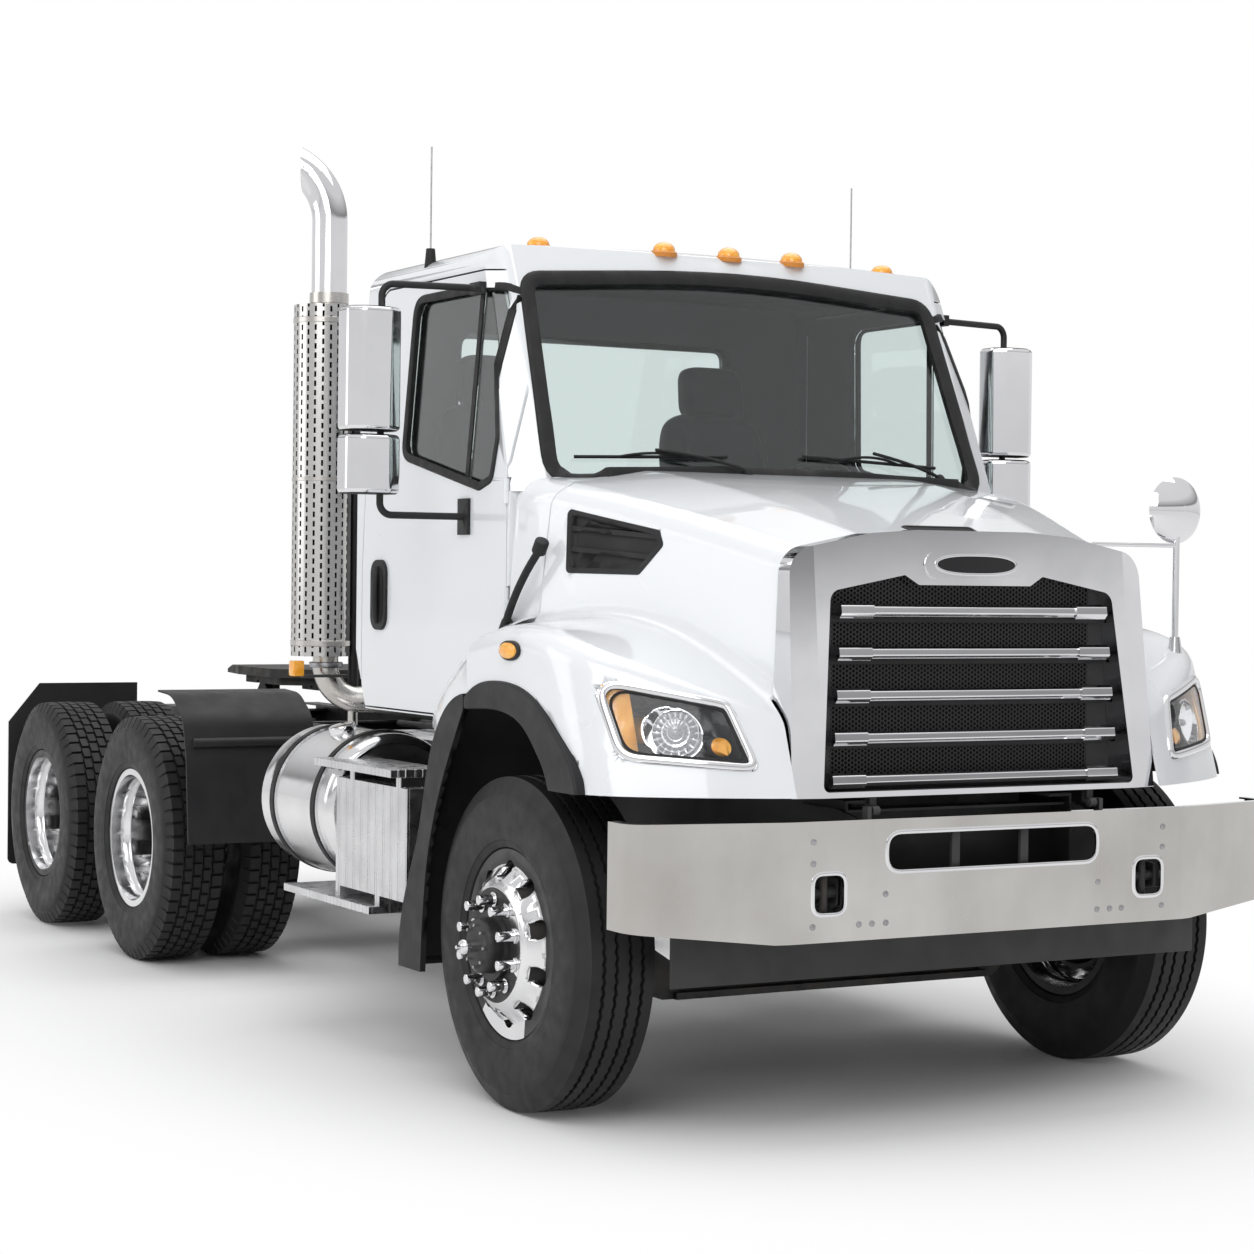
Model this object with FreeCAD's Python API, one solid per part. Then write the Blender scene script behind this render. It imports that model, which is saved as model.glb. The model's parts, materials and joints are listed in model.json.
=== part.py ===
"""Day-cab tractor unit with a moulded tilting hood, tandem drive axles and a pitching coupling plate.

Every piece is a solid of its own, in millimetres. X points forward from the front axle, Y to the vehicle's left and
Z up from the ground. export() then moves each piece so that the origin lies under the middle of the vehicle.
"""
import FreeCAD
import Part
import math
import os

os.makedirs("parts", exist_ok=True)
V = FreeCAD.Vector

# Main sizes
BUMPER_FRONT = 905.0
WHEELBASE = 4300.0
TANDEM_SPREAD = 1300.0
REAR_OVERHANG = 1230.0
HALF_WIDTH = 1220.0
TYRE_R = 527.0
TYRE_HALF_WIDTH = 139.0
FRONT_TRACK_HALF = 1080.0
DUAL_OUTER_Y = 1080.0
DUAL_SPACING = 343.0
FRAME_TOP = 1010.0
FRAME_HALF = 432.0
CAB_REAR = 1710.0
CAB_HALF = 990.0
CAB_FLOOR_Z = 1185.0
COWL_X = -343.0
COWL_Z = 2040.0
ROOF_Z = 2835.0

# Clearances and plate
GAP = 6.0
SEAT_GAP = 0.3
OVERRUN = 50.0
STEEL = 8.0

REAR_END = WHEELBASE + REAR_OVERHANG
ORIGIN_SHIFT = (REAR_END - BUMPER_FRONT) / 2
DRIVE_AXLES = (-WHEELBASE + TANDEM_SPREAD / 2, -WHEELBASE - TANDEM_SPREAD / 2)
SIDES = {"right": -1, "left": 1}


# Shape helpers

def box(x0, x1, y0, y1, z0, z1):
    """Box between two limits on each axis, given in any order."""
    low = V(min(x0, x1), min(y0, y1), min(z0, z1))
    return Part.makeBox(abs(x1 - x0), abs(y1 - y0), abs(z1 - z0), low)


def rod(start, end, radius):
    """Solid cylinder from one point to another."""
    a, b = V(*start), V(*end)
    return Part.makeCylinder(radius, (b - a).Length, a, b - a)


def cone(start, end, radius_a, radius_b):
    a, b = V(*start), V(*end)
    return Part.makeCone(radius_a, radius_b, (b - a).Length, a, b - a)


def ball(centre, radius):
    return Part.makeSphere(radius, V(*centre))


def corner_arc(before, p, after, radius):
    """Ends and middle of the arc that rounds a corner."""
    back, ahead = before - p, after - p
    turn = back.getAngle(ahead)
    reach = radius / math.tan(turn / 2)
    a, b = p + back.normalize() * reach, p + ahead.normalize() * reach
    middle = (back + ahead).normalize()
    return a, p + middle * (radius / math.sin(turn / 2) - radius), b


def outline(points, radius=0):
    """Closed wire through the points, each corner rounded by radius or by its own value in a list."""
    count = len(points)
    radii = radius if isinstance(radius, (list, tuple)) else [radius] * count
    pts = [V(*p) for p in points]
    corners = []
    for i, p in enumerate(pts):
        before, after = pts[i - 1], pts[(i + 1) % count]
        straight = abs(math.pi - (before - p).getAngle(after - p)) < 1e-3
        corners.append((p, None, p) if radii[i] <= 0 or straight else corner_arc(before, p, after, radii[i]))
    edges = []
    for i, (a, mid, b) in enumerate(corners):
        if mid is not None:
            edges.append(Part.Arc(a, mid, b).toShape())
        after = corners[(i + 1) % count][0]
        if (after - b).Length > 1e-4:
            edges.append(Part.makeLine(b, after))
    return Part.Wire(edges)


def prism(points, direction, radius=0):
    """Solid made by moving a rounded outline along a vector."""
    return Part.Face(outline(points, radius)).extrude(V(*direction))


def prism_x(points, x0, x1, radius=0):
    return prism([(x0, y, z) for y, z in points], (x1 - x0, 0, 0), radius)


def prism_y(points, y0, y1, radius=0):
    return prism([(x, y0, z) for x, z in points], (0, y1 - y0, 0), radius)


def prism_z(points, z0, z1, radius=0):
    return prism([(x, y, z0) for x, y in points], (0, 0, z1 - z0), radius)


def placed(shares, start, size):
    """Points given as shares of a size on each axis, counted from a start."""
    return [tuple(s + share * length for s, share, length in zip(start, row, size)) for row in shares]


def revolve_y(profile, x, z, y_sign=1, y0=0):
    """Solid of revolution about a line along Y at (x, z). The profile is (offset along y, radius)."""
    wire = Part.makePolygon([V(x, y0 + y_sign * a, z + r) for a, r in profile + profile[:1]])
    return Part.Face(wire).revolve(V(x, 0, z), V(0, 1, 0), 360)


def offset_path(points, distance):
    """Open path of 2D points moved sideways by a distance, with mitred corners."""
    normals = []
    for (ax, ay), (bx, by) in zip(points, points[1:]):
        length = math.hypot(bx - ax, by - ay)
        normals.append(((by - ay) / length, -(bx - ax) / length))
    moved = []
    for i, (px, py) in enumerate(points):
        n0 = normals[max(i - 1, 0)]
        n1 = normals[min(i, len(normals) - 1)]
        mx, my = n0[0] + n1[0], n0[1] + n1[1]
        scale = 2 * distance / (mx * mx + my * my)
        moved.append((px + mx * scale, py + my * scale))
    return moved


def inset_polygon(points, distance):
    """Closed polygon moved inwards by a distance, points given clockwise seen from its own axis."""
    count = len(points)
    ring = offset_path([points[-1]] + list(points) + [points[0]], distance)
    return ring[1:count + 1]


def band(points, thickness, y0, y1, radius=0):
    """Bent sheet along Y: a side-view path with a thickness."""
    radii = [radius if 0 < i < len(points) - 1 else 0 for i in range(len(points))]
    return prism_y(points + offset_path(points, thickness)[::-1], y0, y1, radii + radii[::-1])


def pipe(points, radius, bend):
    """Round bar or tube body along straight runs joined by arcs of radius bend."""
    pts = [V(*p) for p in points]
    edges, at = [], pts[0]
    for before, p, after in zip(pts, pts[1:], pts[2:]):
        a, middle, b = corner_arc(before, p, after, bend)
        edges.append(Part.makeLine(at, a))
        edges.append(Part.Arc(a, middle, b).toShape())
        at = b
    edges.append(Part.makeLine(at, pts[-1]))
    ring = Part.Wire(Part.makeCircle(radius, pts[0], pts[1] - pts[0]))
    return Part.Wire(edges).makePipeShell([ring], True, True)


def spline(points):
    curve = Part.BSplineCurve()
    curve.interpolate([V(*p) for p in points])
    return curve.toShape()


def mirrored(shape):
    return shape.mirror(V(0, 0, 0), V(0, 1, 0))


def both_sides(shape):
    return [shape, mirrored(shape)]


def fused(shapes):
    first, rest = shapes[0], list(shapes[1:])
    return first.fuse(rest).removeSplitter() if rest else first


def around(count, x, z, shape_at_top):
    """Copies of a shape turned evenly about a line along Y."""
    copies = []
    for i in range(count):
        copy = shape_at_top.copy()
        copy.rotate(V(x, 0, z), V(0, 1, 0), 360.0 * i / count)
        copies.append(copy)
    return copies


def export(name, shapes):
    """Writes one node, moved to the origin under the middle of the vehicle."""
    shapes = shapes if isinstance(shapes, (list, tuple)) else [shapes]
    solids = [s for shape in shapes for s in shape.Solids]
    whole = solids[0].copy() if len(solids) == 1 else Part.makeCompound(solids)
    whole.translate(V(ORIGIN_SHIFT, 0, 0))
    whole.exportStep("parts/" + name + ".step")


# Tyres, wheels, drums and hubs
RIM_R = 286.0
FLANGE_R = 298.0
FLANGE_Y = 118.0
FLANGE_T = 12.0
WELL_R = 262.0
RIM_WALL = 14.0
BEAD_DROP = 4.0
DISC_T = 22.0
DISC_FLAT_R = 180.0
HUB_R = 110.0
HUB_NECK_R = 88.0
HUB_CAP_R = 70.0
HUB_CAP_STEP = 45.0
FRONT_HUB_OUT = 62.0
DRIVE_HUB_OUT = 128.0
HAND_HOLE_R = 31.0
HAND_HOLE_PITCH_R = 232.0
HAND_HOLES = 10
SPINDLE_R = 38.0
DRUM_R = 212.0
DRUM_WALL = 16.0
DRUM_DEPTH = 190.0
HUB_INNER_R = 80.0
HUB_SPINDLE_END = 20.0
DISC_FACE = DUAL_SPACING / 2
# Sidewall and tread: share of the half width, share of the tyre's radius
TYRE_SHARES = [(0.971, 0.655), (1.0, 0.769), (0.942, 0.882), (0.827, 0.968), (0.698, 0.994), (0.0, 1.0)]
# Disc from the rim well to its flat: share of the face offset, share of the flat's radius
DISC_FRONT_SHARES = [(0.688, 1.389), (0.918, 1.156), (0.977, 1.022)]
DISC_BACK_SHARES = [(0.767, 1.111), (0.536, 1.311)]

rim_inner = FLANGE_Y - FLANGE_T
tyre_half = [(-rim_inner + SEAT_GAP, RIM_R + SEAT_GAP), (-rim_inner + SEAT_GAP, FLANGE_R)]
tyre_half += placed([(-a, r) for a, r in TYRE_SHARES], (0, 0), (TYRE_HALF_WIDTH, TYRE_R))
tyre_section = tyre_half + [(-a, r) for a, r in reversed(tyre_half[:-1])]


def tyre(x, y):
    return revolve_y(tyre_section, x, TYRE_R, 1, y)


def rim(x, y, out):
    """Disc wheel with its flanges, drop centre and dished disc. out is the side that the disc lies to."""
    face = DISC_FACE
    well_half = WELL_R - RIM_R + FLANGE_Y / 2
    bore_r = WELL_R - RIM_WALL
    section = [
        (-FLANGE_Y, FLANGE_R), (-rim_inner, FLANGE_R), (-rim_inner, RIM_R), (-FLANGE_Y / 2, RIM_R - BEAD_DROP),
        (-well_half, WELL_R), (well_half, WELL_R), (FLANGE_Y / 2, RIM_R - BEAD_DROP), (rim_inner, RIM_R),
        (rim_inner, FLANGE_R), (FLANGE_Y, FLANGE_R), (FLANGE_Y, RIM_R - BEAD_DROP)]
    section += placed(DISC_FRONT_SHARES, (0, 0), (face, DISC_FLAT_R))
    section += [(face, DISC_FLAT_R), (face, HUB_R), (face - DISC_T, HUB_R), (face - DISC_T, DISC_FLAT_R - BEAD_DROP)]
    section += placed(DISC_BACK_SHARES, (0, 0), (face, DISC_FLAT_R))
    section += [(FLANGE_Y / 2, bore_r), (-well_half, bore_r), (-FLANGE_Y / 2, RIM_R - RIM_WALL - BEAD_DROP),
                (-FLANGE_Y, RIM_R - RIM_WALL)]
    solid = revolve_y(section, x, TYRE_R, out, y)
    axis_z = TYRE_R + HAND_HOLE_PITCH_R
    hole = rod((x, y + out * (well_half + HAND_HOLE_R / 2), axis_z), (x, y + out * (face + OVERRUN), axis_z), HAND_HOLE_R)
    return solid.cut(around(HAND_HOLES, x, TYRE_R, hole))


def drum_and_hub(x, face_y, out, hub_out):
    """Brake drum and hub as one turned piece. face_y is where the wheel's disc bolts on."""
    inner = -(DRUM_DEPTH + DISC_T)
    web = -DISC_T - DRUM_WALL
    section = [
        (inner, DRUM_R), (-DISC_T, DRUM_R), (-DISC_T, HUB_R), (hub_out - HUB_CAP_STEP, HUB_R),
        (hub_out - HUB_CAP_STEP, HUB_NECK_R), (hub_out - GAP, HUB_NECK_R - BEAD_DROP), (hub_out, HUB_CAP_R), (hub_out, 0),
        (HUB_SPINDLE_END, 0), (HUB_SPINDLE_END, SPINDLE_R + SEAT_GAP), (inner + GAP, SPINDLE_R + SEAT_GAP),
        (inner + GAP, HUB_INNER_R), (web - DRUM_WALL, HUB_INNER_R + DRUM_WALL), (web, DRUM_R - DRUM_WALL),
        (inner, DRUM_R - DRUM_WALL)]
    return revolve_y(section, x, TYRE_R, out, face_y)


FRONT_FACE_Y = FRONT_TRACK_HALF + DISC_FACE
DUAL_INNER_Y = DUAL_OUTER_Y - DUAL_SPACING
DUAL_FACE_Y = DUAL_OUTER_Y - DISC_FACE

for side, s in SIDES.items():
    export(side + "_front_tyre", tyre(0, s * FRONT_TRACK_HALF))
    front_hub = drum_and_hub(0, s * FRONT_FACE_Y, s, FRONT_HUB_OUT)
    export(side + "_front_wheel", fused([rim(0, s * FRONT_TRACK_HALF, s), front_hub]))
    for place, x in zip(("forward", "rearmost"), DRIVE_AXLES):
        name = side + "_" + place + "_drive_"
        export(name + "tyres", [tyre(x, s * DUAL_OUTER_Y), tyre(x, s * DUAL_INNER_Y)])
        hub = drum_and_hub(x, s * DUAL_FACE_Y, s, DRIVE_HUB_OUT)
        rims = [rim(x, s * DUAL_OUTER_Y, -s), rim(x, s * DUAL_INNER_Y, s)]
        export(name + "wheels", fused(rims + [hub]))

# Front axle, steering knuckles and leaf springs
KINGPIN_INSET = 180.0
KINGPIN_R = 22.0
BOSS_R = 50.0
BOSS_HALF = 60.0
EAR_T = 55.0
WEB_T = 30.0
SHOULDER_BOSS_R = 70.0
SHOULDER_BOSS_T = 60.0
BEAM_Z = 372.0
BEAM_HALF_H = 52.0
BEAM_HALF_W = 55.0
BEAM_WEB_HALF = 14.0
BEAM_FLANGE = 22.0
BEAM_STRAIGHT = 620.0
BEAM_LAP = 20.0
ARM_HALF_W = 32.0
ARM_FOOT = 60.0
SPRING_Y = 402.0
SPRING_W = 80.0
SPRING_REACH = 700.0
SPRING_SEAT_Z = 520.0
SPRING_EYE_Z = 640.0
HANGER_HALF = 45.0
HANGER_INSET = 10.0
LEAF_T = 16.0
LEAVES = 4
LEAF_STEP_SHARE = 0.22
RAIL_DEPTH = 270.0

KINGPIN_Y = FRONT_TRACK_HALF - KINGPIN_INSET
ear_low = TYRE_R - BOSS_HALF - GAP - EAR_T
ear_high = TYRE_R + BOSS_HALF + GAP + EAR_T
web_y = KINGPIN_Y + BOSS_R + GAP
web_out = web_y + WEB_T
spindle_end = FRONT_FACE_Y + HUB_SPINDLE_END - GAP
knuckle = fused([
    rod((0, KINGPIN_Y, ear_low), (0, KINGPIN_Y, ear_high), KINGPIN_R),
    rod((0, KINGPIN_Y, ear_low), (0, KINGPIN_Y, ear_low + EAR_T), BOSS_R),
    rod((0, KINGPIN_Y, ear_high - EAR_T), (0, KINGPIN_Y, ear_high), BOSS_R),
    box(-BOSS_R, BOSS_R, KINGPIN_Y, web_out, ear_low, ear_low + EAR_T),
    box(-BOSS_R, BOSS_R, KINGPIN_Y, web_out, ear_high - EAR_T, ear_high),
    box(-BOSS_R, BOSS_R, web_y, web_out, ear_low, ear_high),
    rod((0, web_y, TYRE_R), (0, web_y + SHOULDER_BOSS_T, TYRE_R), SHOULDER_BOSS_R),
    rod((0, web_y, TYRE_R), (0, spindle_end, TYRE_R), SPINDLE_R)])
export("left_knuckle", knuckle)
export("right_knuckle", mirrored(knuckle))

flange_in = BEAM_HALF_H - BEAM_FLANGE
beam_half = [(BEAM_HALF_W, -BEAM_HALF_H), (BEAM_HALF_W, -flange_in), (BEAM_WEB_HALF, -flange_in),
             (BEAM_WEB_HALF, flange_in), (BEAM_HALF_W, flange_in), (BEAM_HALF_W, BEAM_HALF_H)]
beam_section = beam_half + [(-a, b) for a, b in reversed(beam_half)]
beam = prism([(x, -BEAM_STRAIGHT, BEAM_Z + z) for x, z in beam_section], (0, 2 * BEAM_STRAIGHT, 0))
arm_y = BEAM_STRAIGHT - BEAM_LAP
arm = prism_x([
    (arm_y, BEAM_Z - BEAM_HALF_H), (arm_y + ARM_FOOT, BEAM_Z - BEAM_HALF_H),
    (KINGPIN_Y - BOSS_R - 2 * GAP, TYRE_R - BOSS_HALF), (KINGPIN_Y, TYRE_R - BOSS_HALF),
    (KINGPIN_Y, TYRE_R + BOSS_HALF), (KINGPIN_Y - BOSS_R, TYRE_R + BOSS_HALF),
    (arm_y, BEAM_Z + BEAM_HALF_H)], -ARM_HALF_W, ARM_HALF_W)
boss = rod((0, KINGPIN_Y, TYRE_R - BOSS_HALF), (0, KINGPIN_Y, TYRE_R + BOSS_HALF), BOSS_R)
bore = rod((0, KINGPIN_Y, ear_low), (0, KINGPIN_Y, ear_high), KINGPIN_R + SEAT_GAP)
arm = arm.fuse(boss).cut(bore)
export("front_axle", fused([beam] + both_sides(arm)))


def leaf(reach, low, drop):
    """One curved leaf, drop higher at its ends than in the middle."""
    edges = []
    ends = [(-reach, low + drop), (0, low), (reach, low + drop)]
    y = SPRING_Y - SPRING_W / 2
    under = Part.Arc(*[V(x, y, z) for x, z in ends]).toShape()
    over = Part.Arc(*[V(x, y, z + LEAF_T) for x, z in reversed(ends)]).toShape()
    edges = [under, Part.makeLine(under.Vertexes[-1].Point, over.Vertexes[0].Point), over,
             Part.makeLine(over.Vertexes[-1].Point, under.Vertexes[0].Point)]
    return Part.Face(Part.Wire(Part.__sortEdges__(edges))).extrude(V(0, SPRING_W, 0))


spring_parts = [box(-BEAM_HALF_W, BEAM_HALF_W, SPRING_Y - SPRING_W / 2, SPRING_Y + SPRING_W / 2,
                    BEAM_Z + BEAM_HALF_H, SPRING_SEAT_Z + LEAF_T / 2)]
for i in range(LEAVES):
    share = 1 - LEAF_STEP_SHARE * i
    low = SPRING_SEAT_Z + (LEAVES - 1 - i) * LEAF_T
    spring_parts.append(leaf(SPRING_REACH * share, low, (SPRING_EYE_Z - SPRING_SEAT_Z) * share ** 2))
for x in (-SPRING_REACH, SPRING_REACH):
    spring_parts.append(box(x - HANGER_HALF, x + HANGER_HALF, SPRING_Y - SPRING_W / 2,
                            SPRING_Y + SPRING_W / 2 - HANGER_INSET, SPRING_EYE_Z, FRAME_TOP - RAIL_DEPTH))
export("front_springs", both_sides(fused(spring_parts)))

# Drive axles with their differentials and brake chambers
HOUSING_R = 62.0
DIFF_R = 205.0
NOSE_RISE = 45.0
NOSE_REACH = 330.0
NOSE_WIDE_R = 150.0
NOSE_NARROW_R = 75.0
TAIL_REACH = 260.0
TAIL_WIDE_R = 130.0
TAIL_NARROW_R = 60.0
BACKPLATE_R = 185.0
CHAMBER_R = 75.0
CHAMBER_BACK = 150.0
CHAMBER_RISE = 120.0
CHAMBER_Y = 445.0
CHAMBER_LENGTH = 120.0
CHAMBER_ARM_Y = 500.0
CHAMBER_ARM_T = 30.0

nose_z = TYRE_R + NOSE_RISE
plate_y = DUAL_FACE_Y - DISC_T - DRUM_DEPTH - GAP
stub_y = DUAL_FACE_Y + HUB_SPINDLE_END - GAP
drive_axles = []
for x in DRIVE_AXLES:
    pieces = [
        rod((x, -plate_y, TYRE_R), (x, plate_y, TYRE_R), HOUSING_R),
        rod((x, -stub_y, TYRE_R), (x, stub_y, TYRE_R), SPINDLE_R),
        ball((x, 0, TYRE_R), DIFF_R),
        cone((x, 0, nose_z), (x + NOSE_REACH, 0, nose_z), NOSE_WIDE_R, NOSE_NARROW_R)]
    if x == DRIVE_AXLES[0]:
        pieces.append(cone((x, 0, nose_z), (x - TAIL_REACH, 0, nose_z), TAIL_WIDE_R, TAIL_NARROW_R))
    for s in SIDES.values():
        axis_z = TYRE_R + CHAMBER_RISE
        pieces += [
            rod((x, s * (plate_y - STEEL), TYRE_R), (x, s * plate_y, TYRE_R), BACKPLATE_R),
            rod((x - CHAMBER_BACK, s * CHAMBER_Y, axis_z), (x - CHAMBER_BACK, s * (CHAMBER_Y + CHAMBER_LENGTH), axis_z),
                CHAMBER_R),
            box(x - CHAMBER_BACK - CHAMBER_ARM_T, x - CHAMBER_ARM_T, s * CHAMBER_ARM_Y,
                s * (CHAMBER_ARM_Y + CHAMBER_ARM_T), TYRE_R, axis_z)]
    drive_axles.append(fused(pieces))
export("drive_axles", drive_axles)

# Engine, gearbox and radiator as plain masses
FIREWALL = 480.0
ENGINE_HALF_W = 325.0
ENGINE_FRONT = 400.0
ENGINE_BOTTOM = 620.0
ENGINE_TOP = 1640.0
GEARBOX_REAR = -1350.0
GEARBOX_OUT_Z = 720.0
ENGINE_EDGE_R = 40.0
ENGINE_FOOT_LENGTH = 120.0
ENGINE_FOOT_LOW = 860.0
ENGINE_FOOT_HIGH = 960.0
# Side view: share of the length from the gearbox's rear, share of the height
ENGINE_SHARES = [(1, 0.02), (1, 1), (0.554, 1), (0.554, 0.461), (0.257, 0.431), (0, 0.304), (0, 0.029), (0.371, 0)]
RAIL_WEB = 9.5
RADIATOR_REAR = 470.0
RADIATOR_DEPTH = 130.0
RADIATOR_HALF_W = 500.0
RADIATOR_FOOT = 130.0
RADIATOR_TOP = 1620.0

web_inner = FRAME_HALF - RAIL_WEB
engine_size = (ENGINE_FRONT - GEARBOX_REAR, ENGINE_TOP - ENGINE_BOTTOM)
engine_profile = placed(ENGINE_SHARES, (GEARBOX_REAR, ENGINE_BOTTOM), engine_size)
engine = [prism_y(engine_profile, -ENGINE_HALF_W, ENGINE_HALF_W, ENGINE_EDGE_R)]
for s in SIDES.values():
    engine.append(box(-ENGINE_FOOT_LENGTH, 0, s * (ENGINE_HALF_W - BEAM_LAP), s * web_inner, ENGINE_FOOT_LOW,
                      ENGINE_FOOT_HIGH))
export("engine_block", fused(engine))
radiator_half = [(RADIATOR_HALF_W, RADIATOR_TOP), (RADIATOR_HALF_W, FRAME_TOP), (ENGINE_HALF_W, FRAME_TOP),
                 (ENGINE_HALF_W, FRAME_TOP - RADIATOR_FOOT)]
radiator = radiator_half + [(-y, z) for y, z in reversed(radiator_half)]
export("radiator", prism_x(radiator, RADIATOR_REAR, RADIATOR_REAR + RADIATOR_DEPTH))

# Propeller shafts
UJOINT_R = 50.0
SHAFT_R = 45.0

step = UJOINT_R + SEAT_GAP
runs = [((GEARBOX_REAR - step, 0, GEARBOX_OUT_Z), (DRIVE_AXLES[0] + NOSE_REACH + step, 0, nose_z)),
        ((DRIVE_AXLES[0] - TAIL_REACH - step, 0, nose_z), (DRIVE_AXLES[1] + NOSE_REACH + step, 0, nose_z))]
export("driveshafts", [fused([rod(a, b, SHAFT_R), ball(a, UJOINT_R), ball(b, UJOINT_R)]) for a, b in runs])

# Trailing arms and air springs that carry the drive axles
TRAIL_Y = 350.0
TRAIL_W = 75.0
TRAIL_FRONT = 520.0
TRAIL_REAR = 420.0
TRAIL_LOW = 525.0
TRAIL_H = 120.0
# Side view of the arm: share of its length from the rear end, share of its height
TRAIL_SHARES = [(1, 0.292), (1, 1), (0.574, 0.958), (0.234, 0.708), (0, 0.375), (0, 0), (0.202, 0.167),
                (0.362, 0.417), (0.362, 0.558), (0.532, 0.558), (0.532, 0.5)]
SADDLE_HALF = 60.0
SADDLE_LOW = 30.0
SADDLE_HIGH = 73.0
HANGER_TOP_FRONT = 600.0
HANGER_TOP_REAR = 440.0
HANGER_LOW_FRONT = 560.0
HANGER_LOW_REAR = 480.0
HANGER_LOW_Z = 540.0
HANGER_W = 35.0
HANGER_Y = 370.0
AIR_SPRING_R = 105.0
AIR_SPRING_BACK = 325.0
AIR_SPRING_LOW = 560.0

suspension = []
trail = (TRAIL_Y, TRAIL_Y + TRAIL_W)
rail_low = FRAME_TOP - RAIL_DEPTH
for x in DRIVE_AXLES:
    profile = placed(TRAIL_SHARES, (x - TRAIL_REAR, TRAIL_LOW), (TRAIL_FRONT + TRAIL_REAR, TRAIL_H))
    saddle = box(x - SADDLE_HALF, x + SADDLE_HALF, *trail, TYRE_R + SADDLE_LOW, TYRE_R + SADDLE_HIGH)
    saddle = saddle.cut(rod((x, -HALF_WIDTH, TYRE_R), (x, HALF_WIDTH, TYRE_R), HOUSING_R + SEAT_GAP))
    hanger = prism_y([(x + HANGER_TOP_REAR, rail_low), (x + HANGER_TOP_FRONT, rail_low),
                      (x + HANGER_LOW_FRONT, HANGER_LOW_Z), (x + HANGER_LOW_REAR, HANGER_LOW_Z)],
                     HANGER_Y, HANGER_Y + HANGER_W)
    air_x = x - AIR_SPRING_BACK
    air_y = TRAIL_Y + TRAIL_W / 2
    air_spring = rod((air_x, air_y, AIR_SPRING_LOW), (air_x, air_y, rail_low), AIR_SPRING_R)
    suspension.append(fused([prism_y(profile, *trail), saddle, hanger, air_spring]))
export("rear_suspension", suspension + [mirrored(piece) for piece in suspension])

# Frame rails and crossmembers
RAIL_FLANGE = 90.0
RAIL_SETBACK = 175.0
RAIL_TAIL = 30.0
CROSS_HALF_H = 105.0
CROSS_FLANGE = 75.0
CROSS_FRONT_INSET = 95.0
CROSS_REAR_INSET = 80.0
# Places between the front axle and the middle of the tandem
CROSS_SHARES = (0.349, 0.547, 0.733, 1.0)

rail_front = BUMPER_FRONT - RAIL_SETBACK
rail_rear = -REAR_END + RAIL_TAIL
rail_section = [
    (FRAME_HALF, rail_low), (FRAME_HALF, FRAME_TOP), (FRAME_HALF - RAIL_FLANGE, FRAME_TOP),
    (FRAME_HALF - RAIL_FLANGE, FRAME_TOP - RAIL_WEB), (web_inner, FRAME_TOP - RAIL_WEB),
    (web_inner, rail_low + RAIL_WEB), (FRAME_HALF - RAIL_FLANGE, rail_low + RAIL_WEB),
    (FRAME_HALF - RAIL_FLANGE, rail_low)]
rail = prism_x(rail_section, rail_rear, rail_front)
export("left_frame_rail", rail)
export("right_frame_rail", mirrored(rail))
cross_in = CROSS_HALF_H - STEEL
cross_section = [
    (0, -CROSS_HALF_H), (CROSS_FLANGE, -CROSS_HALF_H), (CROSS_FLANGE, -cross_in), (STEEL, -cross_in),
    (STEEL, cross_in), (CROSS_FLANGE, cross_in), (CROSS_FLANGE, CROSS_HALF_H), (0, CROSS_HALF_H)]
cross_z = FRAME_TOP - RAIL_DEPTH / 2
cross_x = [rail_front - CROSS_FRONT_INSET] + [-WHEELBASE * share for share in CROSS_SHARES]
crossmembers = []
for x in cross_x + [rail_rear + CROSS_REAR_INSET]:
    corners = [(x + a, -web_inner, cross_z + b) for a, b in cross_section]
    crossmembers.append(prism(corners, (0, 2 * web_inner, 0)))
export("crossmembers", crossmembers)

# Moulded tilting hood: raised centre, rounded fenders and a concave blend between them
HOOD_WALL = 9.0
HOOD_REAR = -480.0
HOOD_NOSE = 980.0
HOOD_EDGE_X = -205.0
SHOULDER_R = 95.0
CREST_R = 300.0
EDGE_R = 85.0
BLEND_R = 60.0
FENDER_REAR = -420.0
FENDER_CUT_X = -250.0
FENDER_LENGTH = 1320.0
FENDER_TOP_Z = 1600.0
FENDER_INNER_Y = 420.0
FENDER_OUTER_Y = 1236.0
FENDER_BOTTOM = 1035.0
NOSE_SETBACK = 53.0
FENDER_SWEEP = 352.0
RAKE_Z = 1130.0
FENDER_RAKE_SHARE = 0.35
# Centre sections: share of the length, base half width and height, shoulder half width and height, crest the same.
# Widths are shares of the cab's half width, heights are shares of the cowl's height
HOOD_SHARES = [
    (0.0, 1.002, 0.7059, 0.9717, 0.9819, 0.5657, 1.0049),
    (0.1918, 0.9879, 0.7059, 0.9444, 0.9681, 0.5253, 0.9912),
    (0.5, 0.8364, 0.6373, 0.796, 0.9206, 0.4444, 0.9485),
    (0.8082, 0.6848, 0.4902, 0.6586, 0.8652, 0.3636, 0.8882),
    (1.0, 0.5909, 0.4902, 0.5646, 0.8309, 0.3131, 0.8505)]
# Crown of a fender: share of its length from the rear, heights inside and outside as shares of its top
CROWN_SHARES = [
    (0.0, 0.9938, 0.9), (0.1288, 1.0012, 0.9188), (0.2803, 1.0038, 0.9425), (0.4091, 0.9906, 0.95),
    (0.5455, 0.9562, 0.9375), (0.6667, 0.9075, 0.905), (0.7727, 0.8575, 0.8625), (0.8939, 0.7938, 0.8062),
    (1.0, 0.7312, 0.75)]
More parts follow.
